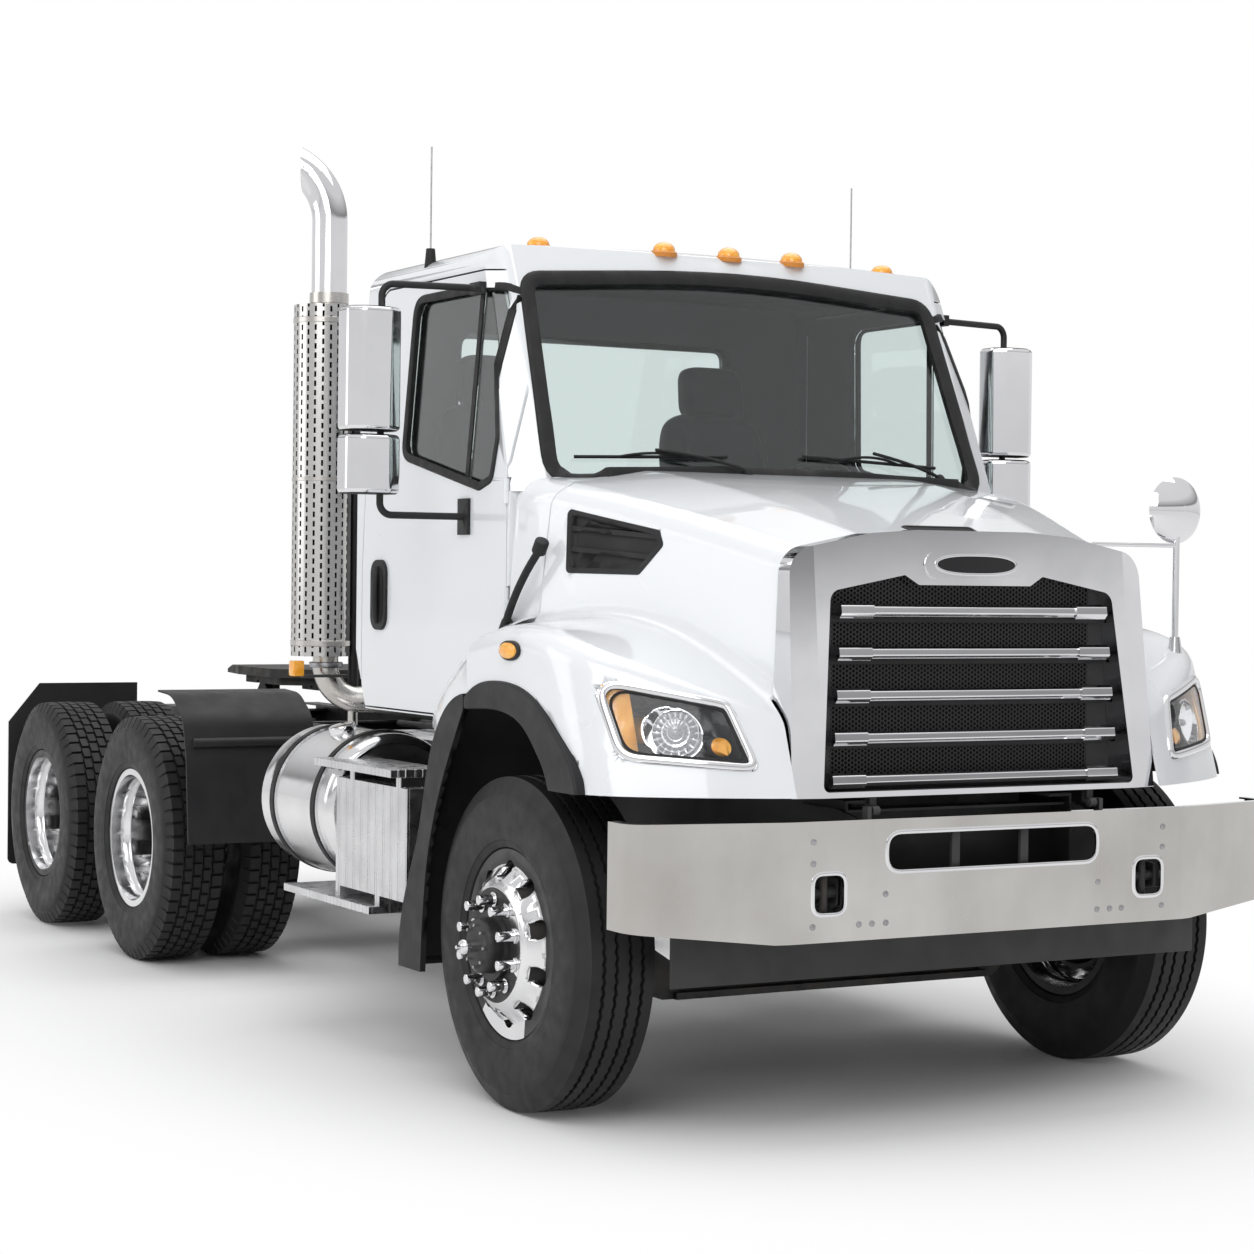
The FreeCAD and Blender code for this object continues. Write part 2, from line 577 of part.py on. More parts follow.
# Plan of a fender's front: share of the sweep back from the nose, share of the outer width
FRONT_SHARES = [(-0.028, 0.243), (0.006, 0.405), (0.074, 0.557), (0.176, 0.631), (0.332, 0.728), (0.56, 0.841),
                (0.744, 0.914), (1.0, 0.975), (1.341, 0.9951), (1.852, 1.0)]
CROWN_LEAN_SHARE = 0.1

hood_length = HOOD_NOSE - HOOD_REAR
nose_x = BUMPER_FRONT - NOSE_SETBACK
hood_sections = placed(HOOD_SHARES, (HOOD_REAR, 0, 0, 0, 0, 0, 0),
                       (hood_length, CAB_HALF, COWL_Z, CAB_HALF, COWL_Z, CAB_HALF, COWL_Z))


def hood_skin(inset, drop):
    """Centre of the hood as a solid, its surface moved in by inset and its base lowered by drop."""
    wires = []
    for x, base_y, base_z, side_y, side_z, crest_y, crest_z in hood_sections:
        half = [(base_y - inset, base_z - drop), (side_y - inset, side_z - inset), (crest_y, crest_z - inset)]
        corners = [(x, y, z) for y, z in half] + [(x, -y, z) for y, z in reversed(half)]
        wires.append(outline(corners, [0, SHOULDER_R - inset, CREST_R, CREST_R, SHOULDER_R - inset, 0]))
    return Part.makeLoft(wires, True, False)


def fender_region(inset):
    """Space behind the raked front of the left fender and inside its outer face."""
    rise = COWL_Z - RAKE_Z
    low = RAKE_Z - rise
    front = placed(FRONT_SHARES, (nose_x + FENDER_RAKE_SHARE * rise - inset, 0), (-FENDER_SWEEP, FENDER_OUTER_Y - inset))
    points = [V(x, y, low) for x, y in front]
    curve = Part.BSplineCurve()
    curve.interpolate(points, InitialTangent=V(-CROWN_LEAN_SHARE, 1, 0) * EDGE_R, FinalTangent=V(-EDGE_R, 0, 0))
    far = -CAB_REAR
    corners = [points[-1], V(far, points[-1].y, low), V(far, points[0].y, low), points[0]]
    lines = [Part.makeLine(a, b) for a, b in zip(corners, corners[1:])]
    face = Part.Face(Part.Wire([curve.toShape()] + lines))
    return face.extrude(V(-2 * FENDER_RAKE_SHARE * rise, 0, 2 * rise))


def fender(inset, drop):
    """Left fender as a solid, its upper edges rounded."""
    low = FENDER_BOTTOM - drop
    wires = []
    for y, column in ((FENDER_INNER_Y - drop, 1), (FENDER_OUTER_Y + 2 * OVERRUN, 2)):
        top = [(FENDER_REAR + row[0] * FENDER_LENGTH, y, row[column] * FENDER_TOP_Z - inset) for row in CROWN_SHARES]
        corners = [V(*top[-1]), V(top[-1][0], y, low), V(top[0][0], y, low), V(*top[0])]
        wires.append(Part.Wire([spline(top)] + [Part.makeLine(a, b) for a, b in zip(corners, corners[1:])]))
    solid = Part.makeLoft(wires, True, True).common(fender_region(inset))
    edges = []
    for edge in solid.Edges:
        middle = edge.valueAt((edge.FirstParameter + edge.LastParameter) / 2)
        high = edge.BoundBox.ZMin > FENDER_BOTTOM + OVERRUN and edge.Length > 2 * EDGE_R
        if high and middle.y > FENDER_INNER_Y + 3 * EDGE_R and middle.x > FENDER_REAR + GAP:
            edges.append(edge)
    return solid.makeFillet(EDGE_R - inset, edges)


def hood_body(inset, drop):
    """Centre and both fenders as one solid with the concave blend."""
    centre = hood_skin(inset, drop)
    left = fender(inset, drop)
    wings = [left, mirrored(left)]
    body = centre.fuse(wings)

    def on_seam(p):
        near = Part.Vertex(p)
        return centre.Shells[0].distToShape(near)[0] < SEAT_GAP and min(w.distToShape(near)[0] for w in wings) < SEAT_GAP

    seam = []
    for edge in body.Edges:
        first, last = edge.FirstParameter, edge.LastParameter
        points = [edge.valueAt(t) for t in (first, (first + last) / 2, last)]
        if points[1].z > FENDER_BOTTOM + GAP and points[1].x > FENDER_REAR + GAP and all(map(on_seam, points)):
            seam.append(edge)
    return body.makeFillet(BLEND_R + inset, seam)


# Black lips along the wheel arches: outer and inner edge as shares of the arch's length and height
ARCH_FRONT = 516.0
ARCH_LENGTH = 766.0
ARCH_TOP = 1351.0
ARCH_H = 310.0
LIP_PROUD = 10.0
LIP_DEPTH = 60.0
LINER_T = 5.0
LINER_IN_Y = 660.0
LIP_OUTER_SHARES = [(0.0, -0.03), (0.047, 0.229), (0.147, 0.468), (0.248, 0.665), (0.366, 0.845), (0.543, 0.974),
                    (0.725, 1.0), (0.911, 0.935), (1.0, 0.823)]
LIP_INNER_SHARES = [(0.24, -0.03), (0.286, 0.171), (0.36, 0.355), (0.465, 0.555), (0.599, 0.668), (0.783, 0.703),
                    (1.0, 0.677)]


def arch_line(shares, x0=ARCH_FRONT):
    return placed(shares, (x0, ARCH_TOP - ARCH_H), (-ARCH_LENGTH, ARCH_H))


def spline_prism(upper, lower, y0, y1):
    """Solid along Y between two splines in side view, both given from the same end."""
    a = spline([(x, y0, z) for x, z in upper])
    b = spline([(x, y0, z) for x, z in lower])
    ends = [Part.makeLine(V(upper[i][0], y0, upper[i][1]), V(lower[i][0], y0, lower[i][1])) for i in (0, -1)]
    face = Part.Face(Part.Wire(Part.__sortEdges__([a, b] + ends)))
    return face.extrude(V(0, y1 - y0, 0))


lip_outer = arch_line(LIP_OUTER_SHARES)
lip_inner = arch_line(LIP_INNER_SHARES)
lip_front_z = FENDER_BOTTOM
lip_face = FENDER_OUTER_Y + LIP_PROUD
liner_line = offset_path(lip_inner, LINER_T)
liner_y = FENDER_OUTER_Y - LIP_DEPTH
lip = fused([spline_prism(lip_outer, lip_inner, liner_y, lip_face), spline_prism(liner_line, lip_inner, LINER_IN_Y, lip_face)])
lip = lip.makeFillet(LIP_PROUD, [e for e in lip.Edges if e.BoundBox.YMin > lip_face - 1e-3 and e.Length > ARCH_H])
arch_hole = spline_prism([(x, z) for x, z in offset_path(lip_outer, SEAT_GAP)], [(x, z - 2 * ARCH_H) for x, z in lip_outer],
                         liner_y - 2 * SEAT_GAP, FENDER_OUTER_Y + OVERRUN)
lip = lip.common(box(FENDER_CUT_X, BUMPER_FRONT, 0, HALF_WIDTH + OVERRUN, lip_front_z, ROOF_Z))
export("fender_lips", both_sides(lip))

# Side vents and lamp openings
VENT_X = -152.0
VENT_Z = 1687.0
VENT_LENGTH = 395.0
VENT_H = 213.0
VENT_R = 18.0
VENT_FRAME = 18.0
VENT_PROUD = 2.0
VENT_DEPTH = 16.0
SLAT_H = 16.0
SLAT_SHARES = (0.36, 0.67)
MESH_DEPTH = 12.0
VENT_SHARES = [(0.0, 1.0), (0.947, 0.662), (1.0, 0.441), (0.782, 0.0), (0.041, 0.019)]
LAMP_Y = 776.0
LAMP_Z = 1110.0
LAMP_W = 401.0
LAMP_H = 274.0
LAMP_CORNERS = [25.0, 49.0, 44.0, 21.0]
LAMP_SHARES = [(0.14, 0.741), (1.0, 1.0), (0.908, 0.106), (0.0, 0.0)]
BEZEL_W = 22.0
LENS_T = 4.0
LAMP_DEPTH = 80.0
BOWL_R = 78.0
BOWL_WALL = 5.0
BOWL_SHARES = (0.53, 0.4)
MARKER_R = 27.0
MARKER_SHARES = (0.23, 0.26)
SIGNAL_SHARE = 0.76
SLOT_X = 700.0
SLOT_LENGTH = 60.0
SLOT_HALF = 130.0
SLOT_R = 12.0
SURROUND_Y = 690.0
SURROUND_BACK = 700.0

vent = placed(VENT_SHARES, (VENT_X, VENT_Z), (VENT_LENGTH, VENT_H))
lamp = placed(LAMP_SHARES, (LAMP_Y, LAMP_Z), (LAMP_W, LAMP_H))
lamp_rear = nose_x - FENDER_SWEEP - 2 * LAMP_DEPTH


def vent_prism(inset):
    return prism_y(inset_polygon(vent, inset), FENDER_INNER_Y, CAB_HALF + OVERRUN, max(VENT_R - inset, SLAT_H / 2))


def lamp_prism(inset):
    radii = [max(r - inset, SLAT_H / 2) for r in LAMP_CORNERS]
    return prism_x(inset_polygon(lamp, inset), lamp_rear, BUMPER_FRONT + OVERRUN, radii)


hood_region = prism_z([
    (BUMPER_FRONT, -2 * CAB_HALF), (BUMPER_FRONT, 2 * CAB_HALF), (FENDER_CUT_X, 2 * CAB_HALF),
    (FENDER_CUT_X, CAB_HALF), (HOOD_EDGE_X, CAB_HALF - SHOULDER_R), (COWL_X, CAB_HALF / 2), (COWL_X, -CAB_HALF / 2),
    (HOOD_EDGE_X, -CAB_HALF + SHOULDER_R), (FENDER_CUT_X, -CAB_HALF), (FENDER_CUT_X, -2 * CAB_HALF)],
    FRAME_TOP, ROOF_Z)
surround_space = box(SURROUND_BACK, HOOD_NOSE + OVERRUN, -SURROUND_Y - SEAT_GAP, SURROUND_Y + SEAT_GAP, FRAME_TOP, ROOF_Z)
holes = [surround_space] + both_sides(arch_hole) + both_sides(vent_prism(0)) + both_sides(lamp_prism(0))
hood_outer = hood_body(0, 0)
hood_inner = hood_body(HOOD_WALL, OVERRUN)
hood_shell = hood_outer.cut(hood_inner).common(hood_region).cut(holes)
hood = max(hood_shell.Solids, key=lambda s: s.Volume)
export("hood", hood)

# Vent frames with two slats in front of a backing plate
frame_layer = hood_skin(-VENT_PROUD, 0).cut(hood_skin(VENT_DEPTH, 0))
slat_layer = hood_skin(0, 0).cut(hood_skin(VENT_DEPTH, 0))
mesh_layer = hood_skin(MESH_DEPTH, 0).cut(hood_skin(VENT_DEPTH, 0))
frame_ring = vent_prism(SEAT_GAP).cut(vent_prism(VENT_FRAME))
vent_parts = [frame_layer.common(frame_ring), mesh_layer.common(vent_prism(VENT_FRAME - SEAT_GAP))]
for share in SLAT_SHARES:
    z = VENT_Z + share * VENT_H
    slat = prism_y([(VENT_X, z + SLAT_H), (VENT_X + VENT_LENGTH, z - SLAT_H), (VENT_X + VENT_LENGTH, z - 2 * SLAT_H),
                    (VENT_X, z)], FENDER_INNER_Y, CAB_HALF)
    vent_parts.append(slat_layer.common(slat).common(vent_prism(VENT_FRAME - SEAT_GAP)))
export("hood_vents", both_sides(fused(vent_parts)))

# Headlamps: bezel, reflector bowl, turn signal and side bulb in a housing, behind a clear lens
lamp_well = fender_region(-OVERRUN).cut(fender_region(LAMP_DEPTH - BOWL_WALL)).common(lamp_prism(BEZEL_W))
housing = fender_region(-VENT_PROUD).cut(fender_region(LAMP_DEPTH)).common(lamp_prism(SEAT_GAP)).cut(lamp_well)
lamp_back = fender_region(LENS_T + GAP).cut(fender_region(LAMP_DEPTH)).common(lamp_prism(BEZEL_W))
bowl_y, bowl_z = placed([BOWL_SHARES], (LAMP_Y, LAMP_Z), (LAMP_W, LAMP_H))[0]
bulb_y, bulb_z = placed([MARKER_SHARES], (LAMP_Y, LAMP_Z), (LAMP_W, LAMP_H))[0]
signal_y = LAMP_Y + SIGNAL_SHARE * LAMP_W
bowl = rod((0, bowl_y, bowl_z), (BUMPER_FRONT, bowl_y, bowl_z), BOWL_R)
bowl = bowl.cut(rod((0, bowl_y, bowl_z), (BUMPER_FRONT, bowl_y, bowl_z), BOWL_R - BOWL_WALL))
bulb = rod((0, bulb_y, bulb_z), (BUMPER_FRONT, bulb_y, bulb_z), MARKER_R)
signal = box(0, BUMPER_FRONT, signal_y, LAMP_Y + LAMP_W, LAMP_Z, LAMP_Z + LAMP_H)
inside = [lamp_back.common(piece) for piece in (bowl, bulb, signal)]
headlamp = fused([housing] + inside)
lens = fender_region(0).cut(fender_region(LENS_T)).common(lamp_prism(BEZEL_W + SEAT_GAP))
export("headlamps", both_sides(headlamp))
export("headlamp_lenses", both_sides(lens))

# Cab shell, hollow, with its doors split off. Side-view shares: back from the cowl, up from the floor (1 at the cowl,
# 2 at the roof)
CAB_WALL = 45.0
COWL_WALL = 30.0
DOOR_GAP = 6.0
ROOF_DROP = 25.0
ROOF_R = 12000.0
ROOF_SIDE_R = 95.0
BROW_R = 60.0
WAIST_R = 600.0
WINDSHIELD_R = 2400.0
PANE_R = 70.0
PANE_EDGE_R = 8000.0
CAB_SHARES = [(1, 0), (1, 2), (0.249, 2), (0, 1), (0, 0.906), (0.071, 0.906), (0.082, 0.377), (0.181, 0.322),
              (0.394, 0.095), (0.459, 0)]
CAB_R = [20.0, 90.0, 110.0, 60.0, 0, 0, 0, 30.0, 30.0, 0]
FRONT_VIEW_SHARES = [(-1.0, 0), (-1.0, 0.965), (-0.955, 2), (0, 2), (0.955, 2), (1.0, 0.965), (1.0, 0)]
PLAN_SHARES = [(0, 0), (0.035, 0.886), (0.093, 1.002), (1.2, 1.002), (1.2, -1.002), (0.093, -1.002), (0.035, -0.886)]
DOOR_SHARES = [(0.965, 0.006), (0.965, 0.602), (0.905, 1.86), (0.182, 1.86), (0.090, 1.025), (0.087, 0.380),
               (0.184, 0.326), (0.396, 0.099), (0.457, 0.006)]
DOOR_R = [20.0, 0, 70.0, 50.0, 0, 40.0, 30.0, 30.0, 10.0]
WINDOW_SHARES = [(0.704, 1.088), (0.682, 1.777), (0.228, 1.777), (0.160, 1.126), (0.181, 0.965), (0.247, 0.936)]
WINDOW_R = [60.0, 70.0, 50.0, 60.0, 40.0, 60.0]
DIVIDER_SHARES = ((0.302, 1.8), (0.333, 0.9))
DIVIDER_W = 26.0
WINDSHIELD_SHARES = [(-0.871, 0.974), (0, 1.019), (0.871, 0.974), (0.830, 1.815), (0, 1.883), (-0.830, 1.815)]
REAR_PANE_SHARES = [(-0.626, 1.025), (0.626, 1.025), (0.596, 1.704), (-0.596, 1.704)]
GLASS_IN = 20.0
GLASS_T = 6.0
HINGE_SHARE = 0.0878
HINGE_OUT = 4.0
BARREL_R = 11.0
BARREL_H = 40.0
BARREL_SHARES = (0.439, 0.860)
CAB_FOOT_SHARES = (0.890, 0.525)
CAB_FOOT_LENGTH = 80.0
CAB_FOOT_Y = 345.0
CAB_FOOT_LAP = 5.0
COWL_LOW = 1440.0
COWL_REACH = 300.0

cab_length = CAB_REAR + COWL_X
under_cowl = COWL_Z - CAB_FLOOR_Z
over_cowl = ROOF_Z - COWL_Z
slope = CAB_SHARES[2][0] * cab_length / over_cowl


def cab_z(share):
    return CAB_FLOOR_Z + min(share, 1) * under_cowl + max(share - 1, 0) * over_cowl


def cab_side(shares):
    """Points in side view from shares of the cab's length and height."""
    return [(COWL_X - a * cab_length, cab_z(b)) for a, b in shares]


def cab_front(shares):
    """Points in front view from shares of the cab's half width and height."""
    return [(a * CAB_HALF, cab_z(b)) for a, b in shares]


def cab_volume(inset):
    """Space inside the cab's surface moved in by inset."""
    radii = [max(r - inset, 0) for r in CAB_R]
    side = prism_y(inset_polygon(cab_side(CAB_SHARES), inset), -HALF_WIDTH, HALF_WIDTH, radii)
    view = cab_front(FRONT_VIEW_SHARES)
    view = [(y, z - ROOF_DROP if abs(y) > 0 and z > COWL_Z else z) for y, z in view]
    corner = ROOF_SIDE_R - inset
    front = prism_x(inset_polygon(view, inset), -2 * CAB_REAR, 0, [0, WAIST_R, corner, ROOF_R, corner, WAIST_R, 0])
    rise = ROOF_Z + 2 * OVERRUN - CAB_FLOOR_Z
    low = CAB_FLOOR_Z - OVERRUN
    plan = []
    for a, b in PLAN_SHARES:
        x = COWL_X - a * cab_length - (inset if a < 1 else 0)
        plan.append((x + slope * (COWL_Z - low), b * CAB_HALF, low))
    raked = prism(plan, (-slope * rise, 0, rise), [WINDSHIELD_R, BROW_R, 0, 0, 0, 0, BROW_R])
    return side.common(front).common(raked)


def pane(shares, inset, x0, x1, curved):
    """Space of a window in front view. Its middle points lie on long arcs where curved."""
    radii = [PANE_EDGE_R if curved and abs(y) == 0 else PANE_R for y, _ in shares]
    points = cab_front(shares)
    return prism_x(inset_polygon(points[::-1], inset) if inset else points[::-1], x0, x1, radii[::-1])


door_points = cab_side(DOOR_SHARES)
window_points = cab_side(WINDOW_SHARES)
door_depth = (CAB_HALF - 2 * OVERRUN, CAB_HALF + 2 * OVERRUN)
cab_outer = cab_volume(0)
cab_inner = cab_volume(CAB_WALL)
cab_skin = cab_outer.cut(cab_inner)
cowl_region = prism_z([
    (FENDER_CUT_X - COWL_REACH, -CAB_HALF), (FENDER_CUT_X - COWL_REACH, CAB_HALF), (FENDER_CUT_X - GAP, CAB_HALF),
    (HOOD_EDGE_X - GAP, CAB_HALF - SHOULDER_R), (COWL_X - GAP, CAB_HALF / 2), (COWL_X - GAP, -CAB_HALF / 2),
    (HOOD_EDGE_X - GAP, -CAB_HALF + SHOULDER_R), (FENDER_CUT_X - GAP, -CAB_HALF)], COWL_LOW, ROOF_Z)
cowl = hood_skin(0, 0).cut(hood_skin(COWL_WALL, OVERRUN)).common(cowl_region).cut(cab_inner)
door_hole = prism_y(door_points, *door_depth, DOOR_R)
door_body = prism_y(inset_polygon(door_points, DOOR_GAP), *door_depth, DOOR_R)
window_hole = prism_y(window_points, *door_depth, WINDOW_R)
windshield_hole = pane(WINDSHIELD_SHARES, 0, -CAB_REAR / 2, 0, True)
rear_hole = pane(REAR_PANE_SHARES, 0, -CAB_REAR - OVERRUN, -CAB_REAR + 2 * CAB_WALL, False)
feet = []
for x, _ in cab_side([(share, 0) for share in CAB_FOOT_SHARES]):
    feet.append(box(x, x + CAB_FOOT_LENGTH, CAB_FOOT_Y, web_inner, FRAME_TOP, CAB_FLOOR_Z + CAB_FOOT_LAP))
feet += [mirrored(foot) for foot in feet]
cab_shell = cab_skin.fuse([cowl] + feet).cut(both_sides(door_hole) + [windshield_hole, rear_hole])

hinge = (COWL_X - HINGE_SHARE * cab_length, CAB_HALF + HINGE_OUT)
cab_barrels, door_barrels, cab_pockets, door_pockets = [], [], [], []
for low in map(cab_z, BARREL_SHARES):
    middle = low + BARREL_H
    high = middle + BARREL_H
    cab_barrels.append(rod((*hinge, low), (*hinge, middle), BARREL_R))
    door_barrels.append(rod((*hinge, middle + SEAT_GAP), (*hinge, high), BARREL_R))
    door_pockets.append(rod((*hinge, low - GAP), (*hinge, middle + SEAT_GAP), BARREL_R + GAP))
    cab_pockets.append(rod((*hinge, middle), (*hinge, high + GAP), BARREL_R + GAP))
(top_x, top_z), (foot_x, foot_z) = cab_side(DIVIDER_SHARES)
divider = prism_y([(top_x - DIVIDER_W, top_z), (top_x, top_z), (foot_x, foot_z), (foot_x - DIVIDER_W, foot_z)], *door_depth)
divider_layer = cab_volume(GLASS_IN - GAP).cut(cab_volume(GLASS_IN + GLASS_T + GAP))
left_door = cab_skin.common(door_body).cut([window_hole] + door_pockets)
left_door = fused([left_door, divider_layer.common(divider)] + door_barrels)
cab_shell = cab_shell.cut(cab_pockets + [mirrored(pocket) for pocket in cab_pockets])
cab_shell = fused([cab_shell] + cab_barrels + [mirrored(barrel) for barrel in cab_barrels])
export("cab_shell", cab_shell)
export("left_door", left_door)
export("right_door", mirrored(left_door))

glass_layer = cab_volume(GLASS_IN).cut(cab_volume(GLASS_IN + GLASS_T))
door_glass = glass_layer.common(prism_y(inset_polygon(window_points, SEAT_GAP), *door_depth, WINDOW_R))
divider_space = prism_y([
    (top_x - DIVIDER_W - SEAT_GAP, top_z), (top_x + SEAT_GAP, top_z), (foot_x + SEAT_GAP, foot_z),
    (foot_x - DIVIDER_W - SEAT_GAP, foot_z)], *door_depth)
door_glass = door_glass.cut(divider_space)
export("left_door_glass", door_glass)
export("right_door_glass", mirrored(door_glass))
panes = [pane(WINDSHIELD_SHARES, SEAT_GAP, -CAB_REAR / 2, 0, True),
         pane(REAR_PANE_SHARES, SEAT_GAP, -CAB_REAR - OVERRUN, -CAB_REAR + 2 * CAB_WALL, False)]
export("cab_glass", [glass_layer.common(space) for space in panes])

# Black flares behind the front wheels, carried by the cab, and the white fender ends between flare and door
FLARE_TOP = 1301.0
FLARE_H = 935.0
FLARE_LENGTH = 476.0
FLARE_SHEET_T = 8.0
FLARE_IN_Y = 760.0
STRAP_Y = 800.0
STRAP_W = 30.0
EXTENSION_T = 8.0
EXTENSION_MID_Y = 1150.0
# Back from the hood's rear edge and up from the flap's lower edge
FLARE_OUTER_SHARES = [(0.0, 1.0), (0.334, 0.918), (0.536, 0.754), (0.689, 0.501), (0.926, 0.239), (1.0, 0.0)]
FLARE_INNER_SHARES = [(0.0, 0.944), (0.185, 0.8), (0.387, 0.62), (0.544, 0.402), (0.607, 0.207), (0.639, 0.0)]
FLARE_EDGE_SHARES = [(0.0, 0.99), (0.113, 0.968), (0.218, 0.943), (0.303, 0.917), (0.361, 0.889), (0.408, 0.861),
                     (0.424, 0.848)]
SEAM_SHARES = [(-0.0636, 0.430), (0.005, 0.409), (0.078, 0.380), (0.181, 0.3275), (0.2714, 0.2316), (0.394, 0.1006),
               (0.455, 0.0058)]
BULGE_SHARES = [(-0.0636, 0.329), (0.001, 0.305), (0.061, 0.269), (0.121, 0.216), (0.176, 0.157), (0.236, 0.064),
                (0.257, -0.006)]
STRAP_SHARES = ((0.2204, 0.2777), (0.3084, 0.1841))

flare_x = FENDER_CUT_X - GAP


def flare_line(shares):
    return placed(shares, (flare_x, FLARE_TOP - FLARE_H), (-FLARE_LENGTH, FLARE_H))


flare_outer = flare_line(FLARE_OUTER_SHARES)
flare_inner = flare_line(FLARE_INNER_SHARES)
flare_band = spline_prism(flare_outer, flare_inner, HALF_WIDTH + GAP, lip_face)
flare_back = offset_path(flare_outer, -FLARE_SHEET_T)
flare_sheet = spline_prism(flare_outer, flare_back, FLARE_IN_Y, lip_face)
strap_top = cab_side(STRAP_SHARES)
strap_foot = offset_path(flare_outer, -FLARE_SHEET_T / 2)[1:3]
strap = prism_y([(x, z - CAB_FOOT_LAP) for x, z in strap_top] + [strap_foot[1], strap_foot[0]], STRAP_Y, STRAP_Y + STRAP_W)
strap = strap.cut(cab_volume(-SEAT_GAP))
flare = fused([flare_band, flare_sheet, strap]).common(box(-CAB_REAR, flare_x, 0, HALF_WIDTH + OVERRUN, 0, ROOF_Z))
export("cab_flares", both_sides(flare))


def skin_wire(points, y, thickness):
    lower = offset_path(points, -thickness)
    a = spline([(x, y, z) for x, z in points])
    b = spline([(x, y, z) for x, z in lower])
    ends = [Part.makeLine(V(points[i][0], y, points[i][1]), V(lower[i][0], y, lower[i][1])) for i in (-1, 0)]
    return Part.Wire(Part.__sortEdges__([a, ends[0], b, ends[1]]))


extension = Part.makeLoft([
    skin_wire(cab_side(SEAM_SHARES), CAB_HALF + SEAT_GAP, EXTENSION_T),
    skin_wire(cab_side(BULGE_SHARES), EXTENSION_MID_Y, EXTENSION_T),
    skin_wire([(x, z + EXTENSION_T) for x, z in flare_line(FLARE_EDGE_SHARES)], FENDER_OUTER_Y, 2 * EXTENSION_T)],
    True, False)
flare_space = spline_prism(offset_path(flare_outer, 2 * SEAT_GAP), flare_inner, FLARE_IN_Y, lip_face + OVERRUN)
extension = extension.cut(flare_space).common(box(-CAB_REAR, flare_x - SEAT_GAP, 0, HALF_WIDTH + OVERRUN, 0, ROOF_Z))
extension = max(extension.Solids, key=lambda s: s.Volume)
export("fender_extensions", both_sides(extension))

# Grille surround in one pressing, mesh behind it and five bars in front
SURROUND_HALF = 688.0
SURROUND_LOW = 1031.0
SURROUND_H = 804.0
SURROUND_T = 4.0
GRILLE_RAKE_SHARE = 0.1
NOSE_BOW = 5.0
NOSE_CORNER = 26.0
MESH_X = 712.0
MESH_T = 15.0
BADGE_HALF_W = 190.0
BADGE_LOW = 1687.0
BADGE_H = 83.0
BADGE_PROUD = 8.0
HINGE_SETBACK = 50.0
HINGE_Z = 991.0
HINGE_PIN_R = 8.0
LUG_R = 14.0
LUG_Y = 400.0
LUG_W = 24.0
LUG_BACK = 34.0
SURROUND_SHARES = [(-1.0, 0), (1.0, 0), (0.965, 0.914), (0.558, 0.984), (0.307, 1.0), (-0.307, 1.0), (-0.558, 0.984),
                   (-0.965, 0.914)]
SURROUND_R = [0, 0, 90.0, 200.0, 60.0, 60.0, 200.0, 90.0]
OPENING_SHARES = [(-0.855, 0.021), (0.855, 0.021), (0.776, 0.764), (0.381, 0.828), (0.308, 0.791), (-0.308, 0.791),
                  (-0.381, 0.828), (-0.776, 0.764)]
OPENING_R = [20.0, 20.0, 40.0, 8.0, 8.0, 8.0, 8.0, 40.0]

surround_points = placed(SURROUND_SHARES, (0, SURROUND_LOW), (SURROUND_HALF, SURROUND_H))[::-1]
opening_points = placed(OPENING_SHARES, (0, SURROUND_LOW), (SURROUND_HALF, SURROUND_H))[::-1]


def grille_face(inset):
    """Space behind the raked, slightly bowed face of the surround."""
    side_y = SURROUND_HALF + OVERRUN
    lip_y = 0.855 * SURROUND_HALF
    half = [(0, 0), (NOSE_BOW, lip_y), (NOSE_CORNER, SURROUND_HALF), (NOSE_CORNER, side_y)]
    start = nose_x - inset + GRILLE_RAKE_SHARE * SURROUND_LOW
    plan = [(start - back, y, 0) for back, y in half]
    far = SURROUND_BACK - 4 * OVERRUN
    plan = [(far, -side_y, 0)] + [(x, -y, 0) for x, y, _ in plan[:0:-1]] + plan + [(far, side_y, 0)]
    return prism(plan, (-GRILLE_RAKE_SHARE * ROOF_Z, 0, ROOF_Z))


def surround_prism(points, radii, inset, x0):
    rounded = [max(r - inset, 0) for r in radii][::-1]
    return prism_x(inset_polygon(points, inset) if inset else points, x0, BUMPER_FRONT + OVERRUN, rounded)


back_x = SURROUND_BACK + SEAT_GAP
surround_block = surround_prism(surround_points, SURROUND_R, 0, back_x).common(grille_face(0))
surround_core = surround_prism(surround_points, SURROUND_R, SURROUND_T, back_x - OVERRUN).common(grille_face(SURROUND_T))
surround_void = surround_prism(opening_points, OPENING_R, 0, back_x - OVERRUN)
return_wall = surround_prism(opening_points, OPENING_R, -SURROUND_T, MESH_X - SURROUND_T).common(grille_face(0))
badge = prism_x([(y, BADGE_LOW + z) for y, z in ((-BADGE_HALF_W, 0), (BADGE_HALF_W, 0), (BADGE_HALF_W, BADGE_H),
                                                 (-BADGE_HALF_W, BADGE_H))], SURROUND_BACK, BUMPER_FRONT, BADGE_H / 2 - 1e-3)
badge = badge.common(grille_face(-BADGE_PROUD)).cut(grille_face(SURROUND_T))
hinge_x = BUMPER_FRONT - HINGE_SETBACK
lug = fused([
    rod((hinge_x, LUG_Y, HINGE_Z), (hinge_x, LUG_Y + LUG_W, HINGE_Z), LUG_R),
    box(hinge_x - LUG_BACK, hinge_x - HINGE_PIN_R, LUG_Y, LUG_Y + LUG_W, HINGE_Z, SURROUND_LOW + SURROUND_T)])
lug = lug.cut(rod((hinge_x, 0, HINGE_Z), (hinge_x, FRAME_HALF, HINGE_Z), HINGE_PIN_R + SEAT_GAP))
surround = surround_block.cut(surround_core).fuse(return_wall.common(surround_block)).cut(surround_void)
